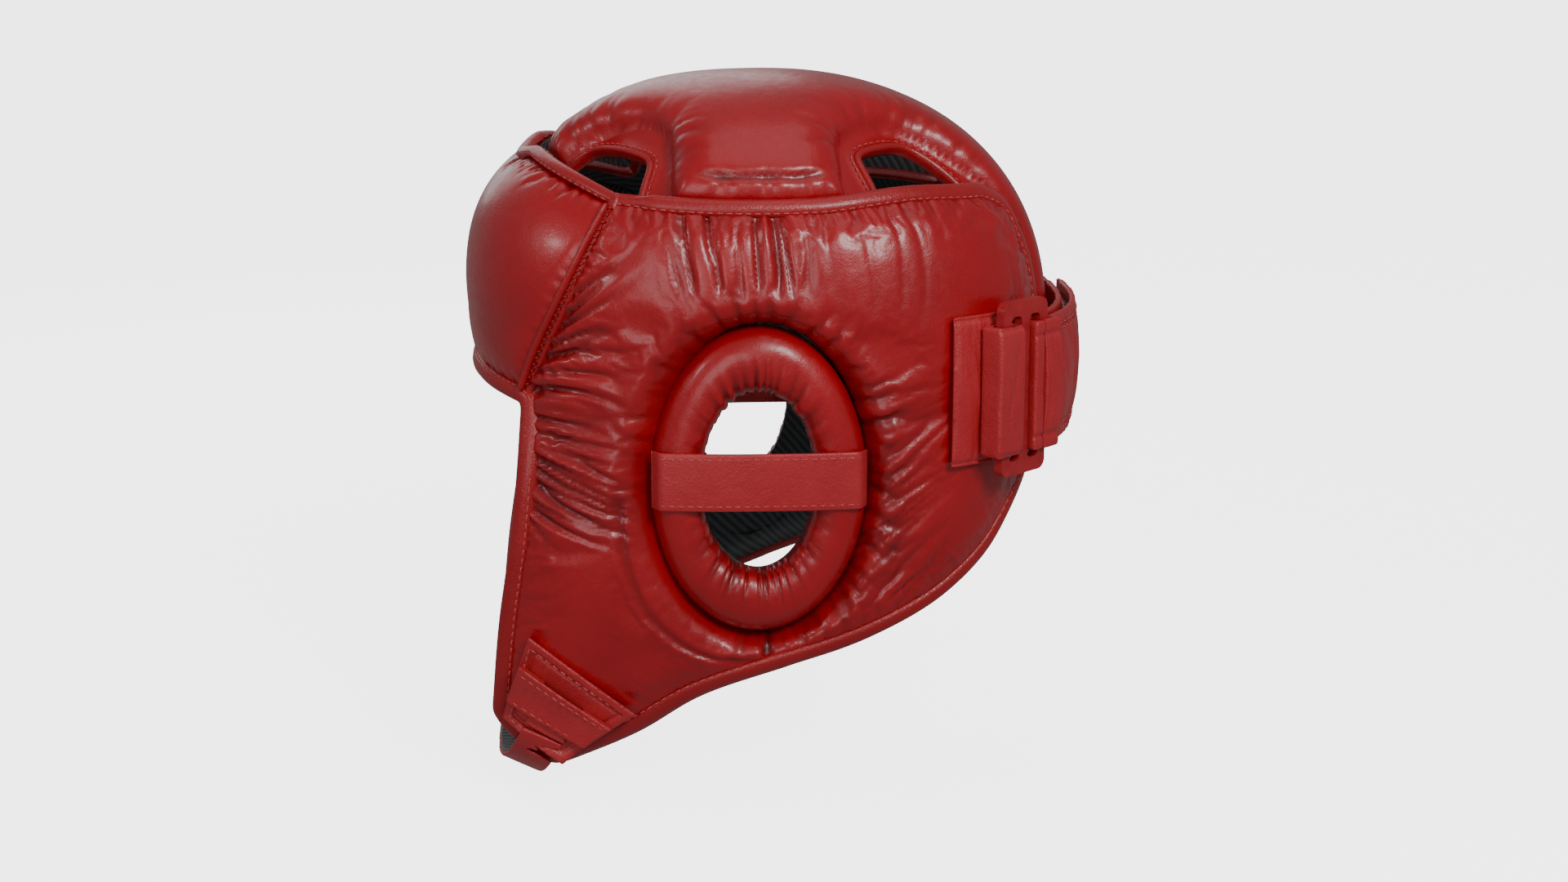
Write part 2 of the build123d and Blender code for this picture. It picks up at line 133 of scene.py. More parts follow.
def form(psi, v, depth, front=0.0, rear=0.0):
    """Points of the head form at a plan angle, a rise and a depth."""
    psi, v, depth = np.broadcast_arrays(*(np.asarray(a, float) for a in (psi, v, depth)))
    rise = np.clip(v / UNROLL, 0, math.pi / 2)
    dome = 1 / power_norm(np.sin(rise), np.cos(rise), DOME_POWER)
    up, out = dome * np.sin(rise), dome * np.cos(rise)
    z = np.where(v > 0, BROW_Z + (DOME_RISE + depth) * up, BROW_Z + v)
    half, face, back = head_level(np.minimum(z, BROW_Z))
    reach = np.where(np.sin(psi) > 0, back - CENTRE_Y + rear, CENTRE_Y - face + front) + depth
    radius = section_radius(psi)
    x = (half + depth) * out * radius * np.cos(psi)
    y = CENTRE_Y - 8 * up + reach * out * radius * np.sin(psi)
    return np.stack([x, y, z], -1)


def band(u, v, depth):
    """Points in the band: U round the head, V up from the brow line."""
    share = (np.asarray(depth, float) - LINING) / (BAND - LINING)
    return form(np.interp(u, LENGTHS, ANGLES), v, depth, BAND_FRONT * share, BAND_REAR * share)


def crown(p, q, depth):
    """Points in the crown, from polar coordinates round its top."""
    rho, psi = np.hypot(p, q), np.arctan2(q, p)
    share = (np.asarray(depth, float) - LINING) / (CROWN - LINING)
    return form(psi, math.pi / 2 * UNROLL - rho, depth, CROWN_FRONT * share, CROWN_REAR * share)


def side_angle(y, z, depth, extra=1.0):
    """Plan angle and rise of side-view points on the wearer's left."""
    y, z, depth = np.broadcast_arrays(*(np.asarray(a, float) for a in (y, z, depth)))
    share = extra * (depth - LINING) / (BAND - LINING)
    up = np.clip((z - BROW_Z) / (DOME_RISE + depth), 0, 0.999)
    out = leg(up, DOME_POWER)
    v = np.where(z > BROW_Z, np.arctan2(up, out) * UNROLL, z - BROW_Z)
    half, face, back = head_level(np.minimum(z, BROW_Z))
    offset = y - (CENTRE_Y - 8 * up)
    reach = np.where(offset > 0, back - CENTRE_Y + BAND_REAR * share,
                     CENTRE_Y - face + BAND_FRONT * share) + depth
    across = np.clip(np.abs(offset) / (reach * out), 0, 1)
    return np.sign(offset) * np.arctan2(across, leg(across, SECTION_POWER)), v


def from_side(points, depth=18.4):
    """Band coordinates (U, V) of side-view (Y, Z) points."""
    points = np.asarray(points, float)
    psi, v = side_angle(points[:, 0], points[:, 1], depth)
    return np.stack([np.interp(psi, ANGLES, LENGTHS), v], 1)


def side_point(y, z, depth):
    """Points of the plain form at a side-view place and depth."""
    psi, v = side_angle(y, z, depth, 0.0)
    return form(psi, v, depth)


def across_angle(x, v, depth=18.4):
    """U at the back of the head where the form is X wide."""
    share = (depth - LINING) / (BAND - LINING)
    rise = max(v, 0) / UNROLL
    dome = 1 / power_norm(math.sin(rise), math.cos(rise), DOME_POWER)
    half = float(head_level(np.array([min(BROW_Z, BROW_Z + v)]))[0][0])
    a = x / ((half + depth) * dome * math.cos(rise))
    return float(np.interp(math.atan2(leg(a, SECTION_POWER), a), ANGLES, LENGTHS))


def from_plan(points, depth=14.0):
    """Polar crown coordinates (P, Q) of plan (X, Y) points on the dome."""
    points = np.asarray(points, float)
    half, face, back = HEAD_LEVELS[-1, 1:]
    share = (depth - LINING) / (CROWN - LINING)
    up = np.full(len(points), 0.8)
    for _ in range(40):
        offset = points[:, 1] - (CENTRE_Y - 8 * up)
        reach = np.where(offset > 0, back - CENTRE_Y + CROWN_REAR * share,
                         CENTRE_Y - face + CROWN_FRONT * share) + depth
        a, b = points[:, 0] / (half + depth), offset / reach
        out = np.clip(power_norm(a, b, SECTION_POWER), 1e-6, 1)
        up = 0.5 * up + 0.5 * leg(out, DOME_POWER)
    rho, psi = (math.pi / 2 - np.arctan2(up, out)) * UNROLL, np.arctan2(b, a)
    return np.stack([rho * np.cos(psi), rho * np.sin(psi)], 1)


def smooth(x):
    x = np.clip(x, 0, 1)
    return x * x * (3 - 2 * x)


def puff(distance, low, high, width, power=2.0):
    """Depth of a stuffed edge: `low` at the seam, `high` from `width` in."""
    x = np.clip(distance / width, 0, 1)
    return low + (high - low) * (1 - (1 - x) ** power) ** (1 / power)


# ------------------------------------------------------------------- noise
def noise(x, y, seed):
    """Gradient noise, about -1 to 1, on arrays."""
    rng = np.random.default_rng(seed)
    order = rng.permutation(256)
    angles = rng.uniform(0, 2 * math.pi, 256)
    x, y = np.broadcast_arrays(np.asarray(x, float), np.asarray(y, float))
    xi, yi = np.floor(x).astype(int), np.floor(y).astype(int)
    xf, yf = x - xi, y - yi

    def corner(dx, dy):
        a = angles[order[(order[(xi + dx) % 256] + yi + dy) % 256]]
        return np.cos(a) * (xf - dx) + np.sin(a) * (yf - dy)

    fx, fy = (t * t * t * (t * (t * 6 - 15) + 10) for t in (xf, yf))
    low = corner(0, 0) * (1 - fx) + corner(1, 0) * fx
    high = corner(0, 1) * (1 - fx) + corner(1, 1) * fx
    return (low * (1 - fy) + high * fy) * 1.5


def folds(along, across, wavelength, length, seed):
    """Gathered folds that run along `across`: round tops, sharp valleys, 0 to 1."""
    bend = noise(along / (wavelength * 4), across / length, seed + 1) * wavelength * 0.8
    wave = noise((along + bend) / wavelength, across / length, seed)
    fine = noise((along + bend) / (wavelength * 0.45), across / (length * 0.6), seed + 2)
    return np.abs(wave) ** 0.7 * 0.8 + np.abs(fine) ** 0.8 * 0.3


def creases(along, across, wavelength, length, seed, narrow=1.7):
    """1 at the bottoms of the folds and 0 on their round tops."""
    return np.clip(1 - narrow * folds(along, across, wavelength, length, seed), 0, 1)


# ------------------------------------------------------------ mesh building
def resample(points, spacing=1.3, closed=False):
    """Points along a polyline at an even spacing, its corners kept."""
    points = np.asarray(points, float)
    if closed:
        points = np.vstack([points, points[:1]])
    rows = []
    for a, b in zip(points, points[1:]):
        count = max(1, int(round(np.linalg.norm(b - a) / spacing)))
        rows += [a + (b - a) * i / count for i in range(count)]
    if not closed:
        rows.append(points[-1])
    return np.array(rows)


def eased(loop, passes):
    """A closed loop after averaging each point with its neighbours."""
    for _ in range(passes):
        loop = (np.roll(loop, 1, 0) + 2 * loop + np.roll(loop, -1, 0)) / 4
    return loop


def curve(points, spacing=1.3):
    """A smooth line through points, resampled."""
    points = np.asarray(points, float)
    if len(points) < 3:
        return resample(points, spacing)
    chord = np.concatenate([[0], np.cumsum(np.linalg.norm(np.diff(points, axis=0), axis=1))])
    tangent = np.gradient(points, chord, axis=0)
    rows = []
    for i in range(len(points) - 1):
        length = chord[i + 1] - chord[i]
        t = np.linspace(0, 1, max(2, int(length / spacing) + 1))[:, None]
        ahead = 3 * t ** 2 - 2 * t ** 3
        rows.append(((1 - ahead) * points[i] + (t ** 3 - 2 * t ** 2 + t) * length * tangent[i]
                     + ahead * points[i + 1] + (t ** 3 - t ** 2) * length * tangent[i + 1])[:-1])
    rows.append(points[-1:])
    return np.vstack(rows)


def joined(*runs):
    """A closed loop from runs whose ends meet."""
    return np.vstack([run[:-1] for run in runs])


def loop_normals(loop):
    """Inward unit normals of a closed loop, whichever way it turns."""
    ahead, behind = np.roll(loop, -1, axis=0), np.roll(loop, 1, axis=0)
    along = ahead - behind
    along /= np.maximum(np.linalg.norm(along, axis=1), 1e-9)[:, None]
    area = np.sum(loop[:, 0] * ahead[:, 1] - ahead[:, 0] * loop[:, 1])
    turn = 1 if area > 0 else -1
    return np.stack([-along[:, 1], along[:, 0]], 1) * turn


def nearest_open(points, line):
    """Distance from each point to an open line, and the length along it there."""
    step = np.linalg.norm(np.diff(line, axis=0), axis=1)
    run = np.concatenate([[0], np.cumsum(step)])
    best, at = np.full(len(points), 1e9), np.zeros(len(points))
    for i, (a, b) in enumerate(zip(line, line[1:])):
        d = b - a
        t = np.clip(((points - a) @ d) / max(d @ d, 1e-12), 0, 1)
        gap = np.linalg.norm(points - a - t[:, None] * d, axis=1)
        closer = gap < best
        best[closer], at[closer] = gap[closer], run[i] + t[closer] * step[i]
    return best, at


def nearest(points, loop):
    """Distance from each point to a closed loop, and the length along it there."""
    return nearest_open(points, np.vstack([loop, loop[:1]]))


def patch(outer, holes=(), spacing=1.5, rows=(0.5, 1.2, 2.2)):
    """A fine triangle mesh of a plane region: points and triangles.

    Rows of points follow each edge closely, so that steep edges stay smooth.
    """
    loops = [np.asarray(outer)] + [np.asarray(h) for h in holes]
    points, edges = [], []
    for k, loop in enumerate(loops):
        start = len(points)
        points += [tuple(p) for p in loop]
        edges += [(start + i, start + (i + 1) % len(loop)) for i in range(len(loop))]
    inside = []
    for k, loop in enumerate(loops):
        normals = loop_normals(loop) * (1 if k == 0 else -1)
        for row in rows:
            inside.append(loop + normals * row)
    low, high = loops[0].min(0), loops[0].max(0)
    xs = np.arange(low[0], high[0], spacing)
    ys = np.arange(low[1], high[1], spacing * 0.866)
    grid = np.array([(x + (0.5 * spacing if j % 2 else 0), y) for j, y in enumerate(ys) for x in xs])
    inside.append(grid)
    keep = []
    clearance = rows[-1] if rows else 0
    for k, cloud in enumerate(inside):
        within = contains(loops[0], cloud)
        for hole in loops[1:]:
            within &= ~contains(hole, cloud)
        cloud = cloud[within]
        gap = np.min([nearest(cloud, loop)[0] for loop in loops], axis=0)
        need = clearance + 0.6 * spacing if k == len(inside) - 1 else rows[k % len(rows)] * 0.9
        keep.append(cloud[gap > need])
    points += [tuple(p) for p in np.vstack(keep)]
    verts, _, faces, *_ = delaunay_2d_cdt(points, edges, [], 1, 1e-5)
    verts = np.array([tuple(v) for v in verts])
    faces = np.array([f for f in faces if len(f) == 3])
    if holes:
        centres = verts[faces].mean(1)
        solid = np.ones(len(faces), bool)
        for hole in loops[1:]:
            solid &= ~contains(hole, centres)
        faces = faces[solid]
    return verts, faces


def contains(loop, points):
    """Whether points lie inside a closed loop."""
    x, y = points[:, 0], points[:, 1]
    inside = np.zeros(len(points), bool)
    for (x0, y0), (x1, y1) in zip(loop, np.roll(loop, -1, axis=0)):
        if y0 == y1:
            continue
        crosses = (y0 > y) != (y1 > y)
        inside ^= crosses & (x < (x1 - x0) * (y - y0) / (y1 - y0) + x0)
    return inside


def make(name, points, faces, material):
    """A mesh object from millimetre points."""
    mesh = bpy.data.meshes.new(name)
    mesh.from_pydata((np.asarray(points) * MM).tolist(), [], [list(map(int, f)) for f in faces])
    mesh.update()
    mesh.polygons.foreach_set("use_smooth", [True] * len(mesh.polygons))
    piece = bpy.data.objects.new(name, mesh)
    bpy.context.scene.collection.objects.link(piece)
    if material:
        mesh.materials.append(material)
    return piece


def grid_faces(rows, columns, closed_rows=False, closed_columns=False):
    """Quads of a grid of points stored row by row."""
    i = np.arange(rows if closed_rows else rows - 1)
    j = np.arange(columns if closed_columns else columns - 1)
    i, j = np.meshgrid(i, j, indexing="ij")
    near, far, j2 = i * columns, (i + 1) % rows * columns, (j + 1) % columns
    return np.stack([near + j, far + j, far + j2, near + j2], -1).reshape(-1, 4)


def mirrored(points, faces):
    points = np.asarray(points) * (-1, 1, 1)
    return points, [list(f)[::-1] for f in faces]


# --------------------------------------------------------------- materials
class Surface:
    """A node material while it is being built."""

    def __init__(self, name, coordinate="Object"):
        self.material = bpy.data.materials.new(name)
        self.material.use_nodes = True
        self.tree = self.material.node_tree
        self.link = self.tree.links.new
        self.shader = self.tree.nodes["Principled BSDF"]
        self.place = self.add("TexCoord").outputs[coordinate] if coordinate else None

    def add(self, kind, **values):
        node = self.tree.nodes.new("ShaderNode" + kind)
        for key, value in values.items():
            if key in node.inputs:
                node.inputs[key].default_value = value
            else:
                setattr(node, key, value)
        return node

    def texture(self, kind, output="Fac", **values):
        node = self.add("Tex" + kind, **values)
        self.link(self.place, node.inputs["Vector"])
        return node.outputs[output]

    def ramp(self, source, low, high):
        """A value that runs from one (place, value) stop to another."""
        node = self.add("ValToRGB")
        for element, (place, value) in zip(node.color_ramp.elements, (low, high)):
            element.position = place
            element.color = (value, value, value, 1)
        self.link(source, node.inputs[0])
        return node.outputs[0]

    def mix(self, factor, first, second):
        """A blend of two colours, each a triple or the output of a node."""
        node = self.add("Mix", data_type="RGBA")
        self.link(factor, node.inputs[0])
        for socket, value in ((node.inputs[6], first), (node.inputs[7], second)):
            if isinstance(value, tuple):
                socket.default_value = (*value, 1)
            else:
                self.link(value, socket)
        return node.outputs[2]

    def bump(self, height, strength, distance, invert=False):
        """Bumps laid over any bumps that are there already."""
        node = self.add("Bump", Strength=strength, Distance=distance, invert=invert)
        self.link(height, node.inputs["Height"])
        normal = self.shader.inputs["Normal"]
        if normal.is_linked:
            self.link(normal.links[0].from_socket, node.inputs["Normal"])
        self.link(node.outputs["Normal"], normal)

    def set(self, **values):
        """Sockets of the shader, by name with _ for a space: a number, a colour or an output."""
        for key, value in values.items():
            socket = self.shader.inputs[key.replace("_", " ")]
            if hasattr(value, "links"):
                self.link(value, socket)
            else:
                socket.default_value = value


def leather(name, colour, deep, pale, rough=0.36, coat=0.28, grain=0.12, creases=0.22):
    """Glossy coated leather: fine pebble grain, faint creases, uneven dye, rubbed high spots, and shade
    painted into the folds in the colour `deep`.
    """
    made = Surface(name)
    broad = made.texture("Noise", Scale=22.0, Detail=3.0, Roughness=0.6)
    fine = made.texture("Noise", Scale=260.0, Detail=4.0, Roughness=0.65)
    pebble = made.texture("Voronoi", "Distance", Scale=1150.0, Randomness=1.0)
    crease = made.texture("Noise", Scale=95.0, Detail=5.0, Roughness=0.6, Distortion=1.6)
    # painted shade: a per-point weight from fold depth turns the colour towards `deep` in the creases
    valley = made.add("Attribute", attribute_name="valley").outputs["Fac"]
    dyed = made.mix(made.ramp(broad, (0.3, 0), (0.72, 1)), colour, pale)
    made.set(Base_Color=made.mix(valley, dyed, deep), Specular_IOR_Level=0.55,
             Coat_Weight=coat, Coat_Roughness=0.2,
             Roughness=made.ramp(fine, (0.3, rough - 0.07), (0.7, rough + 0.08)))
    made.bump(pebble, grain, 0.0003)
    made.bump(crease, creases, 0.0011)
    return made.material


def twill(name, dark, light):
    """Charcoal twill: diagonal ribs over a fine cross thread."""
    made = Surface(name, "UV")
    rib = made.texture("Wave", Scale=0.135, Distortion=0.4, Detail=1.0, bands_direction="DIAGONAL")
    cross = made.texture("Wave", Scale=0.42, Distortion=0.3, bands_direction="X")
    broad = made.texture("Noise", Scale=0.05, Detail=3.0)
    woven = made.mix(made.ramp(rib, (0.2, 0), (0.8, 1)), dark, light)
    woven = made.mix(made.ramp(cross, (0.4, 0.35), (0.9, 0)), woven, dark)
    woven = made.mix(made.ramp(broad, (0.3, 0.25), (0.7, 0)), woven, dark)
    made.set(Base_Color=woven, Roughness=0.78, Sheen_Weight=0.25, Sheen_Roughness=0.5)
    made.bump(rib, 0.55, 0.0004)
    return made.material


def plastic(name, colour, pale):
    """Moulded nylon: satin, a little mottled, with rubbed patches."""
    made = Surface(name)
    broad = made.texture("Noise", Scale=120.0, Detail=5.0, Roughness=0.7)
    fine = made.texture("Noise", Scale=1500.0, Detail=2.0)
    made.set(Base_Color=made.mix(made.ramp(broad, (0.35, 0), (0.7, 1)), colour, pale),
             Roughness=made.ramp(broad, (0.3, 0.36), (0.7, 0.5)))
    made.bump(fine, 0.2, 0.0002)
    return made.material


def tape(name, colour, deep, scale):
    """Hook or loop tape: a nap of tiny tufts."""
    made = Surface(name)
    tufts = made.texture("Voronoi", "Distance", Scale=scale)
    made.set(Base_Color=made.mix(made.ramp(tufts, (0.1, 0), (0.6, 1)), colour, deep),
             Roughness=0.9, Sheen_Weight=0.4)
    made.bump(tufts, 0.8, 0.0007, invert=True)
    return made.material


def sewing_thread(name, colour, pale):
    made = Surface(name)
    ply = made.texture("Wave", Scale=500.0, Distortion=1.5, bands_direction="DIAGONAL")
    made.set(Base_Color=made.mix(ply, colour, pale), Roughness=0.6)
    return made.material


# leather dyed red: its colour, the shade painted deep in a fold, and where it is rubbed
RED, FOLD_SHADE, PALE = (0.36, 0.001, 0.006), (0.08, 0.0, 0.001), (0.44, 0.004, 0.010)
pad_leather = leather("pad_leather", RED, FOLD_SHADE, PALE)
strap_leather = leather("strap_leather", (0.43, 0.012, 0.019), (0.18, 0.002, 0.004),
                        (0.51, 0.026, 0.031), rough=0.46, coat=0.12, grain=0.4, creases=0.35)
binding_leather = leather("binding_leather", (0.33, 0.002, 0.006), (0.11, 0.001, 0.002),
                          (0.40, 0.007, 0.011), rough=0.4, coat=0.2, grain=0.35, creases=0.25)
lining_twill = twill("lining_twill", (0.022, 0.026, 0.028), (0.085, 0.097, 0.102))
buckle_plastic = plastic("buckle_plastic", (0.36, 0.009, 0.014), (0.46, 0.023, 0.028))
hook_tape = tape("hook_tape", (0.30, 0.008, 0.01), (0.1, 0.002, 0.003), 900.0)
loop_tape = tape("loop_tape", (0.34, 0.010, 0.012), (0.12, 0.002, 0.003), 600.0)
thread = sewing_thread("stitch_thread", (0.50, 0.035, 0.035), (0.68, 0.12, 0.11))


def dress(piece, body="shell"):
    """Puts a piece on a body."""
    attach(piece, body)
    return piece


# painted shade: a 0 to 1 weight from the folds' depth, which darkens the leather in its creases
def set_painted_fold_shade(piece, values):
    attribute = piece.data.attributes.new("valley", "FLOAT", "POINT")
    attribute.data.foreach_set("value", np.clip(values, 0, 1).astype(np.float32))


def set_uv(piece, uv):
    layer = piece.data.uv_layers.new(name="weave")
    index = np.empty(len(piece.data.loops), int)
    piece.data.loops.foreach_get("vertex_index", index)
    layer.data.foreach_set("uv", uv[index].astype(np.float32).ravel())


def node_points(piece):
    flat = np.empty(len(piece.data.vertices) * 3)
    piece.data.vertices.foreach_get("co", flat)
    return flat.reshape(-1, 3) / MM


def put_points(piece, points):
    piece.data.vertices.foreach_set("co", (points * MM).ravel())
    piece.data.update()


def settled(points, faces, free, pressure=2.5, grow=0.025, cap=1.1, frames=12):
    """Points of a sewn cover after it swells and buckles as cloth. `free` is 0 where it is held."""
    piece = make("cover", points, faces, None)
    rest = node_points(piece)
    group = piece.vertex_groups.new(name="held")
    level = np.round((1 - np.clip(free, 0, 1)) * 8).astype(int)
    for k in range(1, 9):
        group.add(np.nonzero(level == k)[0].tolist(), k / 8, "REPLACE")
    cover = piece.modifiers.new("cover", "CLOTH")
    cloth = cover.settings
    cloth.quality, cloth.mass, cloth.air_damping = 4, 0.3, 3.0
    cloth.tension_stiffness = cloth.compression_stiffness = 60
    cloth.shear_stiffness, cloth.bending_stiffness = 25, 6
    cloth.use_pressure, cloth.uniform_pressure_force = True, pressure
    cloth.shrink_min = cloth.shrink_max = -grow
    cloth.vertex_group_mass = "held"
    cloth.effector_weights.gravity = 0
    cover.collision_settings.use_collision = False
    scene = bpy.context.scene
    for number in range(1, frames + 1):
        scene.frame_set(number)
    moved = bpy.data.meshes.new_from_object(piece.evaluated_get(bpy.context.evaluated_depsgraph_get()))
    flat = np.empty(len(moved.vertices) * 3)
    moved.vertices.foreach_get("co", flat)
    shift = flat.reshape(-1, 3) / MM - rest
    size = np.linalg.norm(shift, axis=1)
    shift *= (cap * np.tanh(size / cap) / np.maximum(size, 1e-6))[:, None]
    shift *= smooth(np.clip(free, 0, 1))[:, None]
    scene.frame_set(1)
    for mesh in (piece.data, moved):
        bpy.data.meshes.remove(mesh)
    return rest + shift


def pair(name, points, faces, material, valley=None, uv=None):
    """A piece on the left and its mirror image on the right."""
    pieces = []
    for side in ("left", "right"):
        pts, fcs = (points, faces) if side == "left" else mirrored(points, faces)
        piece = make(name + "_" + side, pts, fcs, material)
        if valley is not None:
            set_painted_fold_shade(piece, valley)
        if uv is not None:
            set_uv(piece, uv)
        pieces.append(dress(piece))
    return pieces


def oriented(points, faces, middle=(0, 10, 20)):
    """Turn the faces so that their normals point away from a middle."""
    f = np.asarray(faces)
    a, b, c = points[f[:, 0]], points[f[:, 1]], points[f[:, 2]]
    normal = np.cross(b - a, c - a)
    if np.sum(normal * (a - middle)) < 0:
        f = f[:, ::-1]
    return f


RIM_DEPTH = 18.4      # middle of the rolled binding
SMOOTH_PAD_CAP = 0.8  # how far the cloth may move the forehead and crown pads


# ------------------------------------------------------------ band outlines
seam_line = from_side(curve([(-95, 29), (-88, 50), (-75, 79), (-56, 115)]))
top_side = from_side(curve([(-56, 115), (-20, 113), (20, 113), (60, 116), (88, 114)]))
rear_top_v = 46.0
rear_v = np.linspace(rear_top_v - 9, -55, 70)
rear_line = np.array([(across_angle(REAR_EDGE_X + 1.0, v), v) for v in rear_v])
top_rear = curve([top_side[-1], ((top_side[-1][0] + rear_line[0][0]) / 2 + 6, rear_top_v + 4),
                  (rear_line[0][0] - 1.5, rear_top_v), rear_line[0]])
lower_line = from_side(curve([(106, -19), (94, -36), (78, -49.5), (42, -68), (8, -80), (-27, -94),
                              (-52, -111.5), (-80, -126.5)]))
rear_corner = curve([rear_line[-1], (rear_line[-1][0] - 2, -64), lower_line[0]])
lower_line = np.vstack([rear_corner[:-1], lower_line])
chin_line = from_side(curve([(-80, -126.5), (-86.5, -129), (-95, -123.5), (-107, -112), (-110.5, -106)]))
cheek_line = from_side(curve([(-110.5, -106), (-106.5, -65), (-100.5, -25), (-97, 5), (-95, 29)]))
brow_line = from_side(curve([(-95, 29), (-101, 30.4), (-108, 32), (-116, 34.4)]))
brow_line = np.vstack([brow_line, resample([brow_line[-1], (FRONT_U, -24.5)])[1:]])
forehead_top = from_side(curve([(-56, 115), (-74, 122.5), (-88, 128)]))
forehead_top = np.vstack([forehead_top, resample([forehead_top[-1], (FRONT_U, 71)])[1:]])


def other(line):
    """The same line on the wearer's right."""
    return (line * (-1, 1) + (2 * FRONT_U, 0))[::-1]


def whole(line):
    """A line from the left side on to the middle, and its other half."""
    return np.vstack([line, other(line)[1:]])


side_loop = joined(top_side, top_rear, rear_line, lower_line, chin_line, cheek_line, seam_line)
side_loop = resample(side_loop, 1.5, closed=True)
side_rim = np.vstack([top_side, top_rear[1:], rear_line[1:], lower_line[1:], chin_line[1:], cheek_line[1:]])
band_rim = np.vstack([forehead_top[::-1], side_rim[1:], brow_line[1:]])
half_front = np.vstack([brow_line[::-1][:-1], seam_line[:-1], forehead_top])
front_loop = np.vstack([half_front[:-1], other(half_front)[:-1]])
front_loop = resample(front_loop, 1.5, closed=True)

angle = np.linspace(0, 2 * math.pi, 240, endpoint=False)


def ellipse(half_axes, depth=16.0, grow=0.0):
    """An oval round the ear hole's centre, in band coordinates."""
    ring = np.stack([EAR_Y + (half_axes[0] + grow) * np.cos(angle),
                     EAR_Z + (half_axes[1] + grow) * np.sin(angle)], 1)
    return from_side(ring, depth)


recess_loop = ellipse(RECESS)
ear_uv = recess_loop.mean(0)


def drop(distance, low, high, width, power=2.0):
    """How far a stuffed edge is below full depth."""
    return high - puff(distance, low, high, width, power)


def blended(*drops):
    return sum(d ** 3 for d in drops) ** (1 / 3)


# ---------------------------------------------------------------- side pads
def side_depth(points):
    """Depth of the side pad's outer face, and how deep its folds are."""
    u, v = points[:, 0], points[:, 1]
    rim_gap, rim_at = nearest_open(points, side_rim)
    seam_gap, seam_at = nearest_open(points, seam_line)
    ear_gap = nearest(points, recess_loop)[0]
    full = BAND - 1.5
    depth = full - blended(drop(rim_gap - 5, RIM_DEPTH + 1.7, full, 18), drop(seam_gap, 21.0, full, 8, 1.8),
                           drop(ear_gap, 5.0, full, 12))
    depth -= 0.8 * (1 - noise(u / 45, v / 45, 5)) * smooth(rim_gap / 25) * smooth(ear_gap / 20)
    s, t = u - ear_uv[0], v - ear_uv[1]
    theta = np.degrees(np.arctan2(t / 66, s / 45))

    def sector(low, high, soft=18):
        middle, half = (low + high) / 2, (high - low) / 2
        away = np.abs((theta - middle + 180) % 360 - 180)
        return smooth((half + soft - away) / soft)

    total = np.zeros(len(points))

    def press(amount, mask, *pattern):
        nonlocal total
        total = total + amount * mask * creases(*pattern) ** 1.3

    # puckers drawn in towards the ear opening
    around = theta / 360 * 350
    reach = 17 + 7 * noise(around / 14, 0.3, 41)
    mask = smooth(1.25 - ear_gap / reach) * (1 - 0.9 * sector(-165, -110))
    press(2.3, mask, around, ear_gap, 10.0, 30, 11)
    # folds run in from the front edge and spread towards the ear
    run = (u - cheek_u(v)) / 48
    spread = (v + 22 - 10 * run) / (0.8 + 0.75 * np.clip(run, 0, 1.2))
    mask = (smooth(1.25 - run) * smooth((v + 96) / 26) * smooth((14 - v + 34 * run) / 18)
            * smooth(rim_gap / 5 - 0.5))
    press(4.3, mask, spread, u, 7.0, 75, 23)
    # a fan from the rear strap's anchor round the back of the ear
    back = (s - 30) / 40
    spread = (v + 10 - 16 * back) / (1.15 - 0.25 * np.clip(back, 0, 1.4))
    mask = smooth((back + 0.05) * 6) * smooth(1.45 - back) * smooth((t + 62) / 22) * smooth((52 - t) / 24)
    press(2.5, mask, spread, u, 8.5, 46, 37)
    # long folds from the top rim down to the ear, sharpest over its middle
    mask = smooth((v - 14) / 14) * smooth((s + 44) / 18) * smooth((34 - s) / 26)
    press(3.8, mask, s * (1 - (v - 20) / 400), v, 8.0, 120, 53)
    mask = smooth((v - 0) / 20) * smooth((s - 10) / 20) * smooth((85 - s) / 20)
    press(0.7, mask, s, v, 15.0, 90, 67)
    # short gathers under the rims and along the seam
    short = 11 + 6 * noise(rim_at / 11, 0.1, 71)
    lively = np.where(v > 20, 1.0, 0.35 + 0.3 * noise(u / 30, v / 30, 9))
    press(1.7, smooth(1.2 - (rim_gap - 5) / short) * lively, rim_at, rim_gap, 5.2, 22, 83)
    press(1.3, smooth(1.2 - seam_gap / 7), seam_at, seam_gap, 4.2, 16, 97)
    # the short seam under the ear, and the raised lip in front of it
    below = smooth(1 - np.abs(s - 3) / 2.4) * smooth((-t - 58) / 6)
    total += 3.0 * below
    line = np.abs(ear_gap - (10 + 3 * noise(around / 60, 0.7, 3)))
    total += 1.5 * smooth(1 - line / 2.8) * sector(-172, -98, 10)
    total *= smooth(rim_gap / 4 - 0.9) * smooth(seam_gap / 3.4 + 0.1)
    return depth - total, total, smooth(np.minimum(np.minimum(rim_gap - 5, seam_gap), ear_gap) / 9)


def cheek_u(v):
    order = np.argsort(cheek_line[:, 1])
    return np.interp(v, cheek_line[order, 1], cheek_line[order, 0])


uv, faces = patch(side_loop, [recess_loop], spacing=1.35, rows=(0.5, 1.1, 1.8, 2.7))
depth, fold, free = side_depth(uv)
points = band(uv[:, 0], uv[:, 1], depth)
faces = oriented(points, faces)
points = settled(points, faces, free)
# the fold depth also weights the shade painted into the side pad's creases
for piece in pair("side_pad", points, faces, pad_leather, valley=fold / 4.5):
    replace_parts(piece, piece.name.replace("pad", "foam"), piece.name.replace("pad", "skin"))

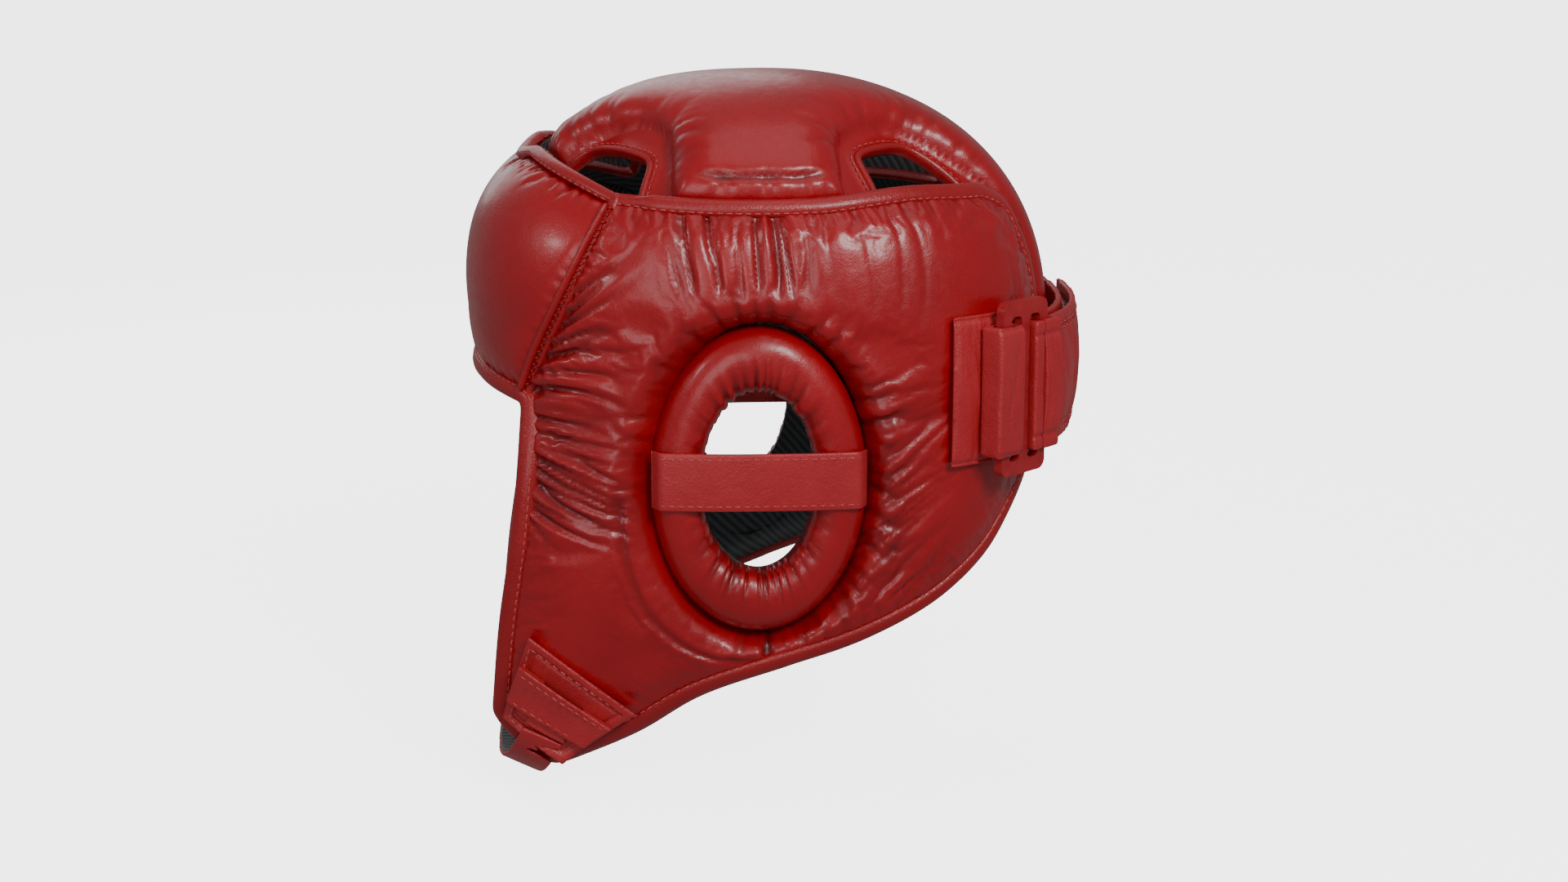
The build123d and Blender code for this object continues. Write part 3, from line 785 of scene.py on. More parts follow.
# ----------------------------------------------------------------- forehead
uv, faces = patch(front_loop, spacing=1.5, rows=(0.5, 1.2, 2.1))
top_gap, top_at = nearest_open(uv, whole(forehead_top))
brow_gap, brow_at = nearest_open(uv, whole(brow_line))
both_seams = [nearest_open(uv, line) for line in (seam_line, other(seam_line))]
seam_gap = np.minimum(both_seams[0][0], both_seams[1][0])
seam_at = np.where(both_seams[0][0] < both_seams[1][0], both_seams[0][1], both_seams[1][1])
full = BAND - 1.0
depth = full - blended(drop(top_gap - 5, RIM_DEPTH - 1.0, full, 36, 1.9),
                       drop(brow_gap - 5, RIM_DEPTH + 1.6, full, 20, 2.1), drop(seam_gap, 21.0, full, 10))
reach = 9 + 5 * noise(top_at / 12, 0.2, 4)
fold = 1.6 * smooth(1.2 - (top_gap - 5) / reach) * creases(top_at, top_gap, 5.5, 20, 15)
fold += smooth(1.2 - (brow_gap - 5) / 8) * creases(brow_at, brow_gap, 6.0, 20, 25)
fold += smooth(1.2 - seam_gap / 6) * creases(seam_at, seam_gap, 4.4, 14, 35)
fold += 0.5 * smooth((top_gap - 2) / 20) * (0.5 + 0.5 * noise(uv[:, 0] / 55, uv[:, 1] / 40, 45))
fold *= smooth(seam_gap / 3.4 + 0.1)
points = band(uv[:, 0], uv[:, 1], depth - fold)
faces = oriented(points, faces)
free = smooth(np.minimum(np.minimum(top_gap - 5, brow_gap - 5), seam_gap) / 9)
points = settled(points, faces, free, grow=0.0, cap=SMOOTH_PAD_CAP)
forehead = make("forehead_pad", points, faces, pad_leather)
# the fold depth also weights the shade painted into the forehead pad's creases
set_painted_fold_shade(forehead, np.clip(fold - 0.5, 0, 9) / 2.2)
dress(forehead)
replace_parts(forehead, "forehead_foam", "forehead_skin")


# ------------------------------------------------------------------ linings
def lining_depth(gap, deep=4.0, edge=16.0, width=18):
    """How far out a lining lies: it rises to meet the rolled edge."""
    return deep + (edge - deep) * (1 - smooth(gap / width)) ** 1.5


hole_loop = ellipse(RING_HOLE, 4.0)
uv, faces = patch(side_loop, [hole_loop], spacing=3.0, rows=(0.8, 2.0))
gap, at = nearest_open(uv, side_rim)
fold = 0.5 * noise(uv[:, 0] / 14, uv[:, 1] / 14, 19)
points = band(uv[:, 0], uv[:, 1], lining_depth(gap) + fold * smooth(gap / 10) * 0.6)
faces = oriented(points, faces)[:, ::-1]
for piece in pair("side_inner", points, faces, lining_twill, uv=uv):
    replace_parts(piece, piece.name.replace("inner", "lining"))

uv, faces = patch(front_loop, spacing=3.0, rows=(0.8, 2.0))
gap = np.minimum(nearest_open(uv, whole(forehead_top))[0], nearest_open(uv, whole(brow_line))[0])
points = band(uv[:, 0], uv[:, 1], lining_depth(gap))
faces = oriented(points, faces)[:, ::-1]
forehead_inner = make("forehead_inner", points, faces, lining_twill)
set_uv(forehead_inner, uv)
dress(forehead_inner)
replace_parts(forehead_inner, "forehead_lining")


# ------------------------------------------------------- bindings and seams
def tube(surface, line, depth, across, deep, closed=True, sides=14, inward=0.0, ends=True):
    """A rolled strip laid along a line on a surface, `across` and `deep` its half sizes."""
    line = np.asarray(line, float)
    if closed:
        normals = loop_normals(line)
    else:
        along = np.gradient(line, axis=0)
        along /= np.linalg.norm(along, axis=1)[:, None]
        normals = np.stack([-along[:, 1], along[:, 0]], 1)
    for _ in range(3 if closed else 0):
        normals = (np.roll(normals, 1, 0) + normals + np.roll(normals, -1, 0)) / 3
    depth = np.broadcast_to(depth, len(line))
    swell = np.ones(len(line))
    if not closed and ends:
        run = np.minimum(np.arange(len(line)), np.arange(len(line))[::-1])
        swell = np.sqrt(1 - (1 - np.clip((run + 0.2) / 2.5, 0, 1)) ** 2)
    rows = []
    for k in range(sides):
        a = 2 * math.pi * k / sides
        c = math.copysign(abs(math.cos(a)) ** 0.85, math.cos(a))
        s = math.copysign(abs(math.sin(a)) ** 0.85, math.sin(a))
        uv = line + normals * (inward + across * c * swell)[:, None]
        rows.append(surface(uv[:, 0], uv[:, 1], depth + deep * s * swell))
    points = np.stack(rows, 1).reshape(-1, 3)
    faces = grid_faces(len(line), sides, closed_rows=closed, closed_columns=True)
    return points, faces


def facing_out(points, faces):
    """Quads turned so that a closed shape has a positive volume."""
    f = np.asarray(faces)
    a, b, c = points[f[:, 0]], points[f[:, 1]], points[f[:, 2]]
    return f if np.sum(np.cross(a, b) * c) > 0 else f[:, ::-1]


def rolled(name, points, faces, *cad_nodes):
    """A piece of binding leather on the shell, standing for CAD nodes."""
    piece = make(name, points, facing_out(points, faces), binding_leather)
    if cad_nodes:
        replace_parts(piece, *cad_nodes)
    return dress(piece)


def stitches(path, normals, name, body="shell", length=2.7, gap=1.1, radius=0.32, sink=0.1):
    """A row of sewn stitches along a 3-D path: short capsules pressed into the leather."""
    path = np.asarray(path, float)
    step = np.linalg.norm(np.diff(path, axis=0), axis=1)
    run = np.concatenate([[0], np.cumsum(step)])
    count = int(run[-1] / (length + gap))
    sides, shape = 6, [(-0.5, 0.25), (-0.42, 0.8), (0.0, 1.0), (0.42, 0.8), (0.5, 0.25)]
    points, faces = [], []
    for i in range(count):
        middle = (i + 0.5) * run[-1] / count
        ends = [np.array([np.interp(m, run, path[:, k]) for k in range(3)])
                for m in (middle - length / 2, middle + length / 2)]
        normal = np.array([np.interp(middle, run, normals[:, k]) for k in range(3)])
        normal /= np.linalg.norm(normal)
        along = ends[1] - ends[0]
        size = np.linalg.norm(along)
        if size < 1e-6:
            continue
        along /= size
        side = np.cross(along, normal)
        start = len(points)
        for place, width in shape:
            centre = ((ends[0] + ends[1]) / 2 + along * place * size
                      - normal * sink * (abs(place) * 2) ** 2 * 3)
            for k in range(sides):
                a = 2 * math.pi * k / sides
                points.append(centre + (side * math.cos(a) + normal * math.sin(a)) * radius * width)
        for r in range(len(shape) - 1):
            for k in range(sides):
                a, b = start + r * sides + k, start + r * sides + (k + 1) % sides
                faces.append((a, b, b + sides, a + sides))
        faces.append(tuple(range(start, start + sides))[::-1])
        faces.append(tuple(range(start + (len(shape) - 1) * sides, start + len(shape) * sides)))
    piece = make(name, points, faces, thread)
    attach(piece, body)
    return piece


def lifted(surface, line, depth):
    """A path on a surface and the outward normals along it."""
    line = np.asarray(line)
    path = surface(line[:, 0], line[:, 1], depth)
    out = surface(line[:, 0], line[:, 1], np.asarray(depth) + 1.0) - path
    return path, out / np.linalg.norm(out, axis=1)[:, None]


rim_loop = eased(resample(np.vstack([band_rim[:-1], other(band_rim)[:-1]]), closed=True), 4)
slim = 1 - 0.34 * smooth(1.6 - nearest_open(rim_loop, whole(forehead_top))[0] / 12)
points, faces = tube(band, rim_loop, RIM_DEPTH, 4.0 * slim, 3.9 * slim, inward=2.8, sides=18)
rolled("rim_binding", points, faces, "binding_top", "binding_face", "binding_lower_left",
       "binding_lower_right", "binding_rear_left", "binding_rear_right")
inner = loop_normals(rim_loop)
for _ in range(6):
    inner = (np.roll(inner, 1, 0) + inner + np.roll(inner, -1, 0)) / 3
row = rim_loop + inner * (2.8 + 2.8 * slim)[:, None]
path, out = lifted(band, np.vstack([row, row[:1]]), RIM_DEPTH + 3.15 * np.append(slim, slim[0]))
stitches(path, out, "rim_stitches")

for side in ("left", "right"):
    line = seam_line if side == "left" else other(seam_line)[::-1]
    shift = -1.0 if side == "left" else 1.0
    low, high = 4, len(line) - 4
    points, faces = tube(band, line[low:high] + (shift, 0), 22.3, 1.2, 1.5, closed=False, sides=10)
    rolled("seam_cord_" + side, points, faces, "seam_piping_" + side)
    points, faces = tube(band, line, 19.4, 2.8, 2.0, closed=False, sides=10)
    rolled("seam_tape_" + side, points, faces)
    # gathers of the side pad held by the seam's stitches
    run = np.concatenate([[0], np.cumsum(np.linalg.norm(np.diff(line, axis=0), axis=1))])
    points, faces = [], []
    for place in np.arange(8, run[-1] - 6, 3.1):
        centre = np.array([np.interp(place, run, line[:, 0]), np.interp(place, run, line[:, 1])])
        steps = np.linspace(0, 1, 6)
        tooth = centre + np.stack([-shift * (0.2 + 2.1 * steps), 0.4 * steps], 1)
        p, f = tube(band, tooth, 21.6 + 0.3 * np.sin(steps * 2.6), 0.5, 0.55,
                    closed=False, sides=8, ends=False)
        faces += (f + len(points)).tolist()
        points += p.tolist()
    rolled("seam_gathers_" + side, np.array(points), faces)

# ----------------------------------------------------------------- ear rings
theta = np.linspace(0, 2 * math.pi, 260, endpoint=False)
section = [(1.0, 4.4), (1.0, 7.5)]
for degree in np.linspace(-4, 184, 30):
    a = math.radians(degree)
    section.append((0.5 + 0.5 * math.copysign(abs(math.cos(a)) ** 0.92, math.cos(a)),
                    10.6 + 10.2 * math.copysign(abs(math.sin(a)) ** 0.92, math.sin(a))))
section += [(0.0, 8.0), (0.0, 6.0), (0.0, 3.9)]
section = np.array(section)
t, k = np.meshgrid(theta, np.arange(len(section)), indexing="ij")
share, deep = section[k, 0], section[k, 1]
around = t * 52
inner_weight = smooth((0.62 - share) / 0.5)
ends = np.abs(np.sin(t)) ** 3
pattern = creases(around, share * 10 + 40, 6.5, 30, 61, 1.6)
fold = pattern * inner_weight * (0.35 + 0.9 * ends) * 1.5
fold += 0.25 * np.clip(noise(around / 16, share * 3, 8), 0, 1)
fold += pattern * smooth((0.85 - share) / 0.6) * ends * 0.5
half_y = RING_HOLE[0] + (RING_OUTER[0] - RING_HOLE[0]) * share
half_z = RING_HOLE[1] + (RING_OUTER[1] - RING_HOLE[1]) * share
push = fold * inner_weight * 0.8
y = EAR_Y + (half_y + push) * np.cos(t)
z = EAR_Z + (half_z + push) * np.sin(t)
points = side_point(y, z, deep - fold * smooth((deep - 6) / 8) * 0.8).reshape(-1, 3)
faces = grid_faces(len(theta), len(section), closed_rows=True)
faces = oriented(points, faces, (80, EAR_Y, EAR_Z))
# the fold depth also weights the shade painted into the ear ring's creases
for piece in pair("ear_ring_pad", points, faces, pad_leather, valley=(fold / 2.0).ravel()):
    side = piece.name.split("_")[-1]
    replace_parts(piece, "ear_ring_foam_" + side, "ear_ring_skin_" + side)


def slab(at, along, across, middle, thick, power=0.35, sides=20):
    """A flat strap with rolled edges. `at` gives points for (along, across, depth)."""
    rows = []
    for i, s in enumerate(along):
        ease = math.sqrt(1 - (1 - min(1, (min(i, len(along) - 1 - i) + 0.15) / 3)) ** 2)
        mid = middle(s) if callable(middle) else middle
        for k in range(sides * 2):
            a = 2 * math.pi * k / (sides * 2)
            c = math.copysign(abs(math.cos(a)) ** power, math.cos(a))
            n = math.copysign(abs(math.sin(a)) ** power, math.sin(a))
            place = (across[0] + across[1]) / 2 + (across[1] - across[0]) / 2 * c * (0.97 + 0.03 * ease)
            rows.append((s, place, mid + thick / 2 * n * ease))
    rows = np.array(rows)
    points = at(rows[:, 0], rows[:, 1], rows[:, 2])
    columns = sides * 2
    faces = grid_faces(len(along), columns, closed_columns=True)
    faces = facing_out(points, faces)
    caps = [list(range(columns)), list(range((len(along) - 1) * columns, len(along) * columns))]
    faces = [list(f) for f in faces] + [caps[0], caps[1]]
    return points, faces


def ear_strap_depth(y):
    """The ear strap lies over the ring and dips to the pad at its ends."""
    return 22.0 - 5.5 * smooth((abs(y + 2) - 39.5) / 5.5)


along = np.concatenate([np.linspace(-45.6, -43, 6), np.linspace(-42, 38, 60), np.linspace(39, 41.6, 6)])
for side in ("left", "right"):
    points, faces = slab(side_point, along, (-10.0, 14.0), ear_strap_depth, 2.3)
    if side == "right":
        points, faces = mirrored(points, faces)
    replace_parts(dress(make("ear_band_" + side, points, faces, strap_leather)), "ear_strap_" + side)
    for h, end in ((11.8, "high"), (-7.8, "low")):
        ys = np.linspace(-43, 39.5, 70)
        deep = np.array([ear_strap_depth(v) for v in ys]) + 1.25
        path = side_point(ys, np.full(70, h), deep)
        out = side_point(ys, np.full(70, h), deep + 1) - path
        if side == "right":
            path, out = path * (-1, 1, 1), out * (-1, 1, 1)
        stitches(path, out, "ear_band_stitches_" + end + "_" + side, radius=0.3)


# -------------------------------------------------------------------- crown
FRONT_WINDOW = [(50, -44), (46, -49), (38, -56), (28, -64), (18, -71), (15.5, -79), (17, -90), (34, -82),
                (48, -71), (57, -58), (60, -47)]
REAR_WINDOW = [(32, 66), (38, 58), (45, 50), (51, 41), (61, 45), (56, 59), (48, 70), (40, 76.5), (32, 79)]


def to_crown(line):
    """Band coordinates to polar crown coordinates."""
    psi = np.interp(line[:, 0], LENGTHS, ANGLES)
    rho = math.pi / 2 * UNROLL - line[:, 1]
    return np.stack([rho * np.cos(psi), rho * np.sin(psi)], 1)


rim_left = np.vstack([forehead_top[::-1], top_side[1:], top_rear[1:-8]])
rim_pq = to_crown(rim_left)
rim_angle = np.arctan2(rim_pq[:, 1], rim_pq[:, 0])
rim_rho = np.hypot(rim_pq[:, 0], rim_pq[:, 1])
windows = []
for window in (FRONT_WINDOW, REAR_WINDOW):
    loop = from_plan(window, 5.0)
    middle = loop.mean(0)
    angles = np.arctan2(loop[:, 1], loop[:, 0])
    rho = np.hypot(loop[:, 0], loop[:, 1])
    limit = np.interp(angles, rim_angle, rim_rho) + 5.5
    rho = np.where(rho > math.hypot(*middle), np.minimum(rho + 16, limit), rho - 4.5)
    loop = eased(resample(np.stack([rho * np.cos(angles), rho * np.sin(angles)], 1), closed=True), 34)
    windows += [loop, loop * (-1, 1)]


def arm_edge(v):
    """Crown coordinates of the rear arm's left edge at a rise."""
    u = across_angle(27.0, v)
    return to_crown(np.array([[u, v]]))[0]


def inward(line, gap):
    """Points moved towards the top of the crown."""
    rho = np.hypot(line[:, 0], line[:, 1])[:, None]
    return line * (rho - gap) / rho


# leather shell of the crown, down to just inside the band, and its rear arm
skirt = inward(rim_pq, -13.0)
arm_v = np.linspace(38, -46, 60)
arm_left = np.array([arm_edge(v) for v in arm_v])
keep_rows = np.arctan2(skirt[:, 1], skirt[:, 0]) < np.arctan2(arm_left[0][1], arm_left[0][0]) - 0.05
skirt = skirt[keep_rows]
skirt_corner = curve([skirt[-1], (arm_left[0] + skirt[-1]) / 2 + (-1, 1), arm_left[0]], 1.5)
shell_half = np.vstack([skirt, skirt_corner[1:-1], arm_left])
shell_loop = np.vstack([shell_half, (shell_half * (-1, 1))[::-1]])
shell_loop = resample(shell_loop, 1.6, closed=True)

# the stuffed cross: front arm, two side arms and the rear arm
foot = inward(rim_pq, 2.0)
foot_angle = np.degrees(np.arctan2(foot[:, 1], foot[:, 0]))
front_cut = from_plan([(11.5, -84), (11.5, -76), (15, -66), (22, -55), (29, -46), (37, -39), (46, -35),
                       (58, -34), (72, -34)])
rear_cut = from_plan([(72, 31), (58, 31), (48, 33), (41, 39), (35, 46), (30, 53), (27, 61),
                      (26.5, 70), (27, 78)])


def on_foot(direction):
    """The foot line's point in a direction."""
    a = math.degrees(math.atan2(direction[1], direction[0]))
    order = np.argsort(foot_angle)
    return np.array([np.interp(a, foot_angle[order], foot[order, k]) for k in (0, 1)])


side_foot = foot[(foot_angle > math.degrees(math.atan2(*on_foot(front_cut[-1])[::-1])))
                 & (foot_angle < math.degrees(math.atan2(*on_foot(rear_cut[0])[::-1])))]
front_foot = foot[foot_angle < math.degrees(math.atan2(*on_foot(front_cut[0])[::-1]))]
cross_half = np.vstack([front_foot, front_cut, side_foot, rear_cut, arm_left[2:]])
cross_loop = np.vstack([cross_half, (cross_half * (-1, 1))[::-1]])
cross_loop = eased(resample(cross_loop, 1.5, closed=True), 5)


def crown_depth(pts):
    inside = contains(cross_loop, pts)
    gap, at = nearest(pts, cross_loop)
    gap = np.where(inside, gap, -gap)
    window_gap = np.min([nearest(pts, loop)[0] for loop in windows], axis=0)
    full = CROWN - 0.9
    rise = puff(gap + 2.0, 0, 1, 17, 2.0)
    floor_depth = 5.2 + 1.6 * smooth(1 - window_gap / 8) + 6.0 * smooth(window_gap / 22)
    depth = floor_depth + (full - floor_depth) * rise
    angle = np.degrees(np.arctan2(pts[:, 1], np.abs(pts[:, 0])))
    rho = np.hypot(pts[:, 0], pts[:, 1])
    around = angle / 57.3 * 95
    fold = 1.7 * smooth(1.3 - window_gap / 24) * smooth((window_gap - 2) / 5) * smooth(rise * 1.6)
    fold *= creases(at, window_gap, 8.5, 34, 71, 1.5)
    side = smooth((20 - np.abs(angle)) / 8) * smooth((rho - 48) / 14)
    foot_gap = nearest_open(pts, side_foot)[0]
    foot_gap = np.where(pts[:, 0] < 0, nearest_open(pts * (-1, 1), side_foot)[0], foot_gap)
    ledge = np.abs(foot_gap - 9 - 1.5 * noise(around / 18, 0.4, 6))
    fold += 2.2 * side * smooth(1 - ledge / 3.2) * smooth((gap - 5) / 5)
    fold += side * smooth(1.2 - foot_gap / 14) * creases(around, gap, 9, 25, 77, 1.6)
    fold += 0.7 * smooth(gap / 12) * (0.5 - 0.5 * noise(pts[:, 0] / 60, pts[:, 1] / 60, 12))
    free = smooth((gap - 4) / 10) * smooth((window_gap - 4) / 6)
    # the second value weights the shade painted into the crown's creases
    return depth - fold, np.clip(fold - 0.6, 0, 9) / 2.6, free


uv, faces = patch(shell_loop, windows, spacing=1.6, rows=(0.6, 1.4))
# painted shade for the crown's creases comes back as the second value
depth, valley, free = crown_depth(uv)
points = crown(uv[:, 0], uv[:, 1], depth)
faces = oriented(points, faces)
points = settled(points, faces, free, cap=SMOOTH_PAD_CAP)
crown_pad = make("crown_pad", points, faces, pad_leather)
set_painted_fold_shade(crown_pad, valley)
dress(crown_pad)
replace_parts(crown_pad, "crown_foam", "crown_skin")

uv, faces = patch(shell_loop, windows, spacing=3.0, rows=(0.8, 2.0))
points = crown(uv[:, 0], uv[:, 1], 2.6 + 0 * uv[:, 0])
faces = oriented(points, faces)[:, ::-1]
crown_inner = make("crown_inner", points, faces, lining_twill)
set_uv(crown_inner, uv)
dress(crown_inner)
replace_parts(crown_inner, "crown_lining")

for loop, name in zip(windows, ("front_left", "front_right", "rear_left", "rear_right")):
    points, faces = tube(crown, loop, 4.8, 1.9, 3.0, inward=-0.7, sides=12)
    rolled("window_rim_" + name, points, faces, "window_binding_" + name)
    normals = loop_normals(loop)
    closed = np.vstack([loop - normals * 3.4, (loop - normals * 3.4)[:1]])
    path, out = lifted(crown, closed, 7.25)
    stitches(path, out, "window_stitches_" + name, radius=0.26, length=2.3)

# a rolled edge down both sides of the rear arm and round its foot
arm_foot = curve([arm_left[-3], arm_left[-1] * (0.86, 1.0), arm_left[-1] * (0.5, 1.0),
                  (0.0, arm_left[-1][1])], 1.5)
foot_line = np.vstack([arm_left[4:-3], arm_foot[1:]])
arm_rim = np.vstack([foot_line, (foot_line * (-1, 1))[::-1][1:]])
points, faces = tube(crown, arm_rim, 6.0, 2.6, 2.9, closed=False, sides=12)
rolled("rear_arm_binding", points, faces)


# ------------------------------------------------------- straps and patches
def cushioned(node, name, material, body="shell", voxel=1.0, passes=6, shape=None, uv=None):
    """A soft piece worked from its CAD node: rounded, then shaped by `shape(points, normals)`."""
    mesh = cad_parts[node].data.copy()
    mesh.materials.clear()
    piece = bpy.data.objects.new(name, mesh)
    bpy.context.scene.collection.objects.link(piece)
    grid = piece.modifiers.new("grid", "REMESH")
    grid.mode, grid.voxel_size, grid.use_smooth_shade = "VOXEL", voxel * MM, True
    soften = piece.modifiers.new("soften", "SMOOTH")
    soften.factor, soften.iterations = 0.5, passes
    depsgraph = bpy.context.evaluated_depsgraph_get()
    result = bpy.data.meshes.new_from_object(piece.evaluated_get(depsgraph))
    piece.modifiers.clear()
    piece.data = result
    result.name = name
    points = node_points(piece)
    normals = np.array([tuple(v.normal) for v in result.vertices])
    if shape:
        put_points(piece, points + shape(points, normals))
    result.polygons.foreach_set("use_smooth", [True] * len(result.polygons))
    result.materials.append(material)
    if uv is not None:
        set_uv(piece, uv(points))
    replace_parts(piece, node)
    return dress(piece, body)


STRAP_LOW, STRAP_HIGH, STRAP_REAR = 9.0, 63.0, -6.5
STRAP_HALF_WIDTH, STRAP_HALF_LENGTH = 107.5, 123.5      # of the strap's oval in plan
STRAP_RADIUS = 112.0                                    # turns its plan angle into a length


def strap(angle, z, depth):
    """Points of the rear strap's form at a plan angle."""
    return form(angle, np.asarray(z, float) - BROW_Z, depth, 0.0, STRAP_REAR)


def along_strap(points):
    """Length round the head and outward direction at points of the strap."""
    psi = np.arctan2((points[:, 1] - CENTRE_Y) / STRAP_HALF_LENGTH, points[:, 0] / STRAP_HALF_WIDTH)
    out = strap(psi, points[:, 2], 31.0) - strap(psi, points[:, 2], 30.0)
    out[:, 2] = 0
    return psi * STRAP_RADIUS, out / np.linalg.norm(out, axis=1)[:, None]


def padded_strap(hem, bulge, crease, seed, low=STRAP_LOW, high=STRAP_HIGH):
    """Shapes a strap: hems at top and bottom, a soft bulge and upright creases between."""
    def shape(points, normals):
        s, out = along_strap(points)
        outer = smooth((np.sum(normals * out, axis=1) - 0.1) / 0.5)
        z = (points[:, 2] - (low + high) / 2) / ((high - low) / 2)
        inner = 1 - np.clip(np.abs(z) / hem, 0, 1) ** 4
        groove = smooth(1 - np.abs(np.abs(z) - hem) / 0.045)
        worn = creases(s, points[:, 2], 8.0, 60, seed, 1.6)
        ripple = noise(s / 30, points[:, 2] / 50, seed + 5)
        lift = bulge * inner * (0.75 + 0.35 * ripple) - crease * worn * (0.35 + 0.65 * inner) - 0.9 * groove
        return out * (lift * outer)[:, None]
    return shape


cushioned("rear_strap", "rear_strap_base", strap_leather,
          shape=padded_strap(0.80, 0.5, 0.5, 15))
cushioned("rear_strap_tail", "rear_strap_end", strap_leather, "strap_tail",
          shape=padded_strap(0.78, 1.9, 1.7, 31))
cushioned("rear_strap_fold", "rear_strap_turn", strap_leather, "buckle", voxel=0.8,
          shape=padded_strap(0.78, 0.3, 0.3, 37))
cushioned("rear_keeper_left", "rear_keeper", strap_leather, voxel=0.8,
          shape=padded_strap(0.96, 1.0, 0.9, 43))
cushioned("rear_anchor_left", "rear_tab_left", strap_leather, voxel=0.8, passes=4,
          shape=padded_strap(0.95, 1.5, 0.9, 47, 5, 67))
cushioned("rear_anchor_right", "rear_tab_right", strap_leather, voxel=0.8, passes=4,
          shape=padded_strap(0.9, 0.2, 0.3, 49, 8, 66))
cushioned("rear_strap_loop_patch", "rear_loop_tape", loop_tape, voxel=0.7, passes=2)
cushioned("rear_strap_hook_patch", "rear_hook_tape", hook_tape, "strap_tail", voxel=0.9, passes=3)


def angle_of_x(x, depth):
    """Plan angle on the strap's form where it is X wide, past the back."""
    head_half_width = 77.4
    a = np.clip(np.abs(x) / (head_half_width + depth), 0, 0.9999)
    psi = np.arctan2((1 - a ** SECTION_POWER) ** (1 / SECTION_POWER), a)
    return np.where(x < 0, math.pi - psi, psi)


def strap_row(name, x_from, x_to, z, depth, body="shell"):
    """A row of stitches along the rear strap at one height."""
    xs = np.linspace(x_from, x_to, 80)
    psi = angle_of_x(xs, depth)
    path = strap(psi, z, depth)
    out = strap(psi, z, depth + 1) - path
    stitches(path, out / np.linalg.norm(out, axis=1)[:, None], name, body, radius=0.3)


TAIL_DEPTH, BASE_DEPTH = 36.15, 30.1      # where the stitches lie on the tail and on the base strap
for z, end in ((STRAP_HIGH - 6.6, "top"), (STRAP_HIGH - 4.2, "hem_top"), (STRAP_LOW + 6.6, "low"),
               (STRAP_LOW + 4.2, "hem_low")):
    strap_row("tail_stitches_" + end, -13, 64, z, TAIL_DEPTH, "strap_tail")
for z, end in ((STRAP_HIGH - 3.5, "top"), (STRAP_LOW + 3.5, "low")):
    strap_row("strap_stitches_" + end, -96, -20, z, BASE_DEPTH)

buckle_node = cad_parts["buckle"]
buckle_node.data.materials.clear()
buckle_node.data.materials.append(buckle_plastic)
edge = buckle_node.modifiers.new("moulded_edges", "BEVEL")
edge.width, edge.segments, edge.limit_method, edge.angle_limit = 0.8 * MM, 3, "ANGLE", math.radians(35)

# ----------------------------------------------------------------- chin end
CHIN_ORIGIN = np.array([0, -89, -106.0])
CHIN_TILT = math.radians(26)
chin_across = np.array([0, math.cos(CHIN_TILT), -math.sin(CHIN_TILT)])
PATCH = [(-97, -67), (-53, -101), (-84, -125), (-109, -107)]


def soft_flat(amount, seed):
    """A slight unevenness of worn leather, outwards only."""
    def shape(points, normals):
        ripple = noise(points[:, 0] / 14 + points[:, 1] / 22, points[:, 2] / 16, seed)
        return normals * (amount * ripple)[:, None]
    return shape


def strip_uv(points):
    """Weave coordinates on the chin strap: along it and across it."""
    return np.stack([points[:, 0] + 0.4 * points[:, 1], (points - CHIN_ORIGIN) @ chin_across], 1)


cushioned("chin_strap", "chin_strap_leather", strap_leather, "chin_strap", voxel=0.55, passes=5,
          shape=soft_flat(0.15, 3))
cushioned("chin_strap_lining", "chin_strap_inner", lining_twill, "chin_strap", voxel=0.4, passes=3,
          uv=strip_uv)
cushioned("chin_tab", "chin_tab_leather", strap_leather, voxel=0.55, passes=5,
          shape=soft_flat(0.15, 4))
cushioned("chin_tab_hook_patch", "chin_tab_hooks", hook_tape, voxel=0.35, passes=2)


def patch_shape(points, normals):
    """The chin patch: a raised hem round its edge, inside a stitched groove."""
    y, z = points[:, 1], points[:, 2]
    loop = np.array(PATCH, float)
    gap, _ = nearest(np.stack([y, z], 1), loop)
    outer = smooth((np.abs(normals[:, 0]) - 0.5) / 0.3)
    groove = smooth(1 - np.abs(gap - 4.4) / 1.2)
    return normals * ((0.5 * smooth((4.2 - gap) / 1.5) - 0.7 * groove) * outer)[:, None]


def keeper_shape(points, normals):
    """The chin keeper: a slight ripple on its outer face."""
    ripple = noise(points[:, 1] / 9, points[:, 2] / 14, 7)
    outer = smooth((np.abs(normals[:, 0]) - 0.5) / 0.3)
    return normals * (0.35 * ripple * outer)[:, None]


for side in ("left", "right"):
    cushioned("chin_patch_" + side, "chin_corner_" + side, strap_leather, voxel=0.6, passes=3,
              shape=patch_shape)
    cushioned("chin_keeper_" + side, "chin_keeper_band_" + side, strap_leather, voxel=0.6, passes=4,
              shape=keeper_shape)
    cushioned("chin_strap_root_" + side, "chin_strap_end_" + side, strap_leather, voxel=0.55,
              passes=4)


def band_side(y, z, depth):
    """Points of the band at side-view places and a depth."""
    psi, v = side_angle(y, z, depth)
    share = (np.asarray(depth, float) - LINING) / (BAND - LINING)
    return form(psi, v, depth, BAND_FRONT * share, BAND_REAR * share)


def side_row(name, corners, depth, closed=False):
    """A row of stitches on both sides of the shell, from side-view corners."""
    line = resample(np.array(corners, float), 1.5, closed=closed)
    if closed:
        line = np.vstack([line, line[:1]])
    path = band_side(line[:, 0], line[:, 1], np.full(len(line), depth))
    out = band_side(line[:, 0], line[:, 1], np.full(len(line), depth + 1)) - path
    out /= np.linalg.norm(out, axis=1)[:, None]
    for side, flip in (("left", (1, 1, 1)), ("right", (-1, 1, 1))):
        stitches(path * flip, out * flip, name + "_" + side, radius=0.3)


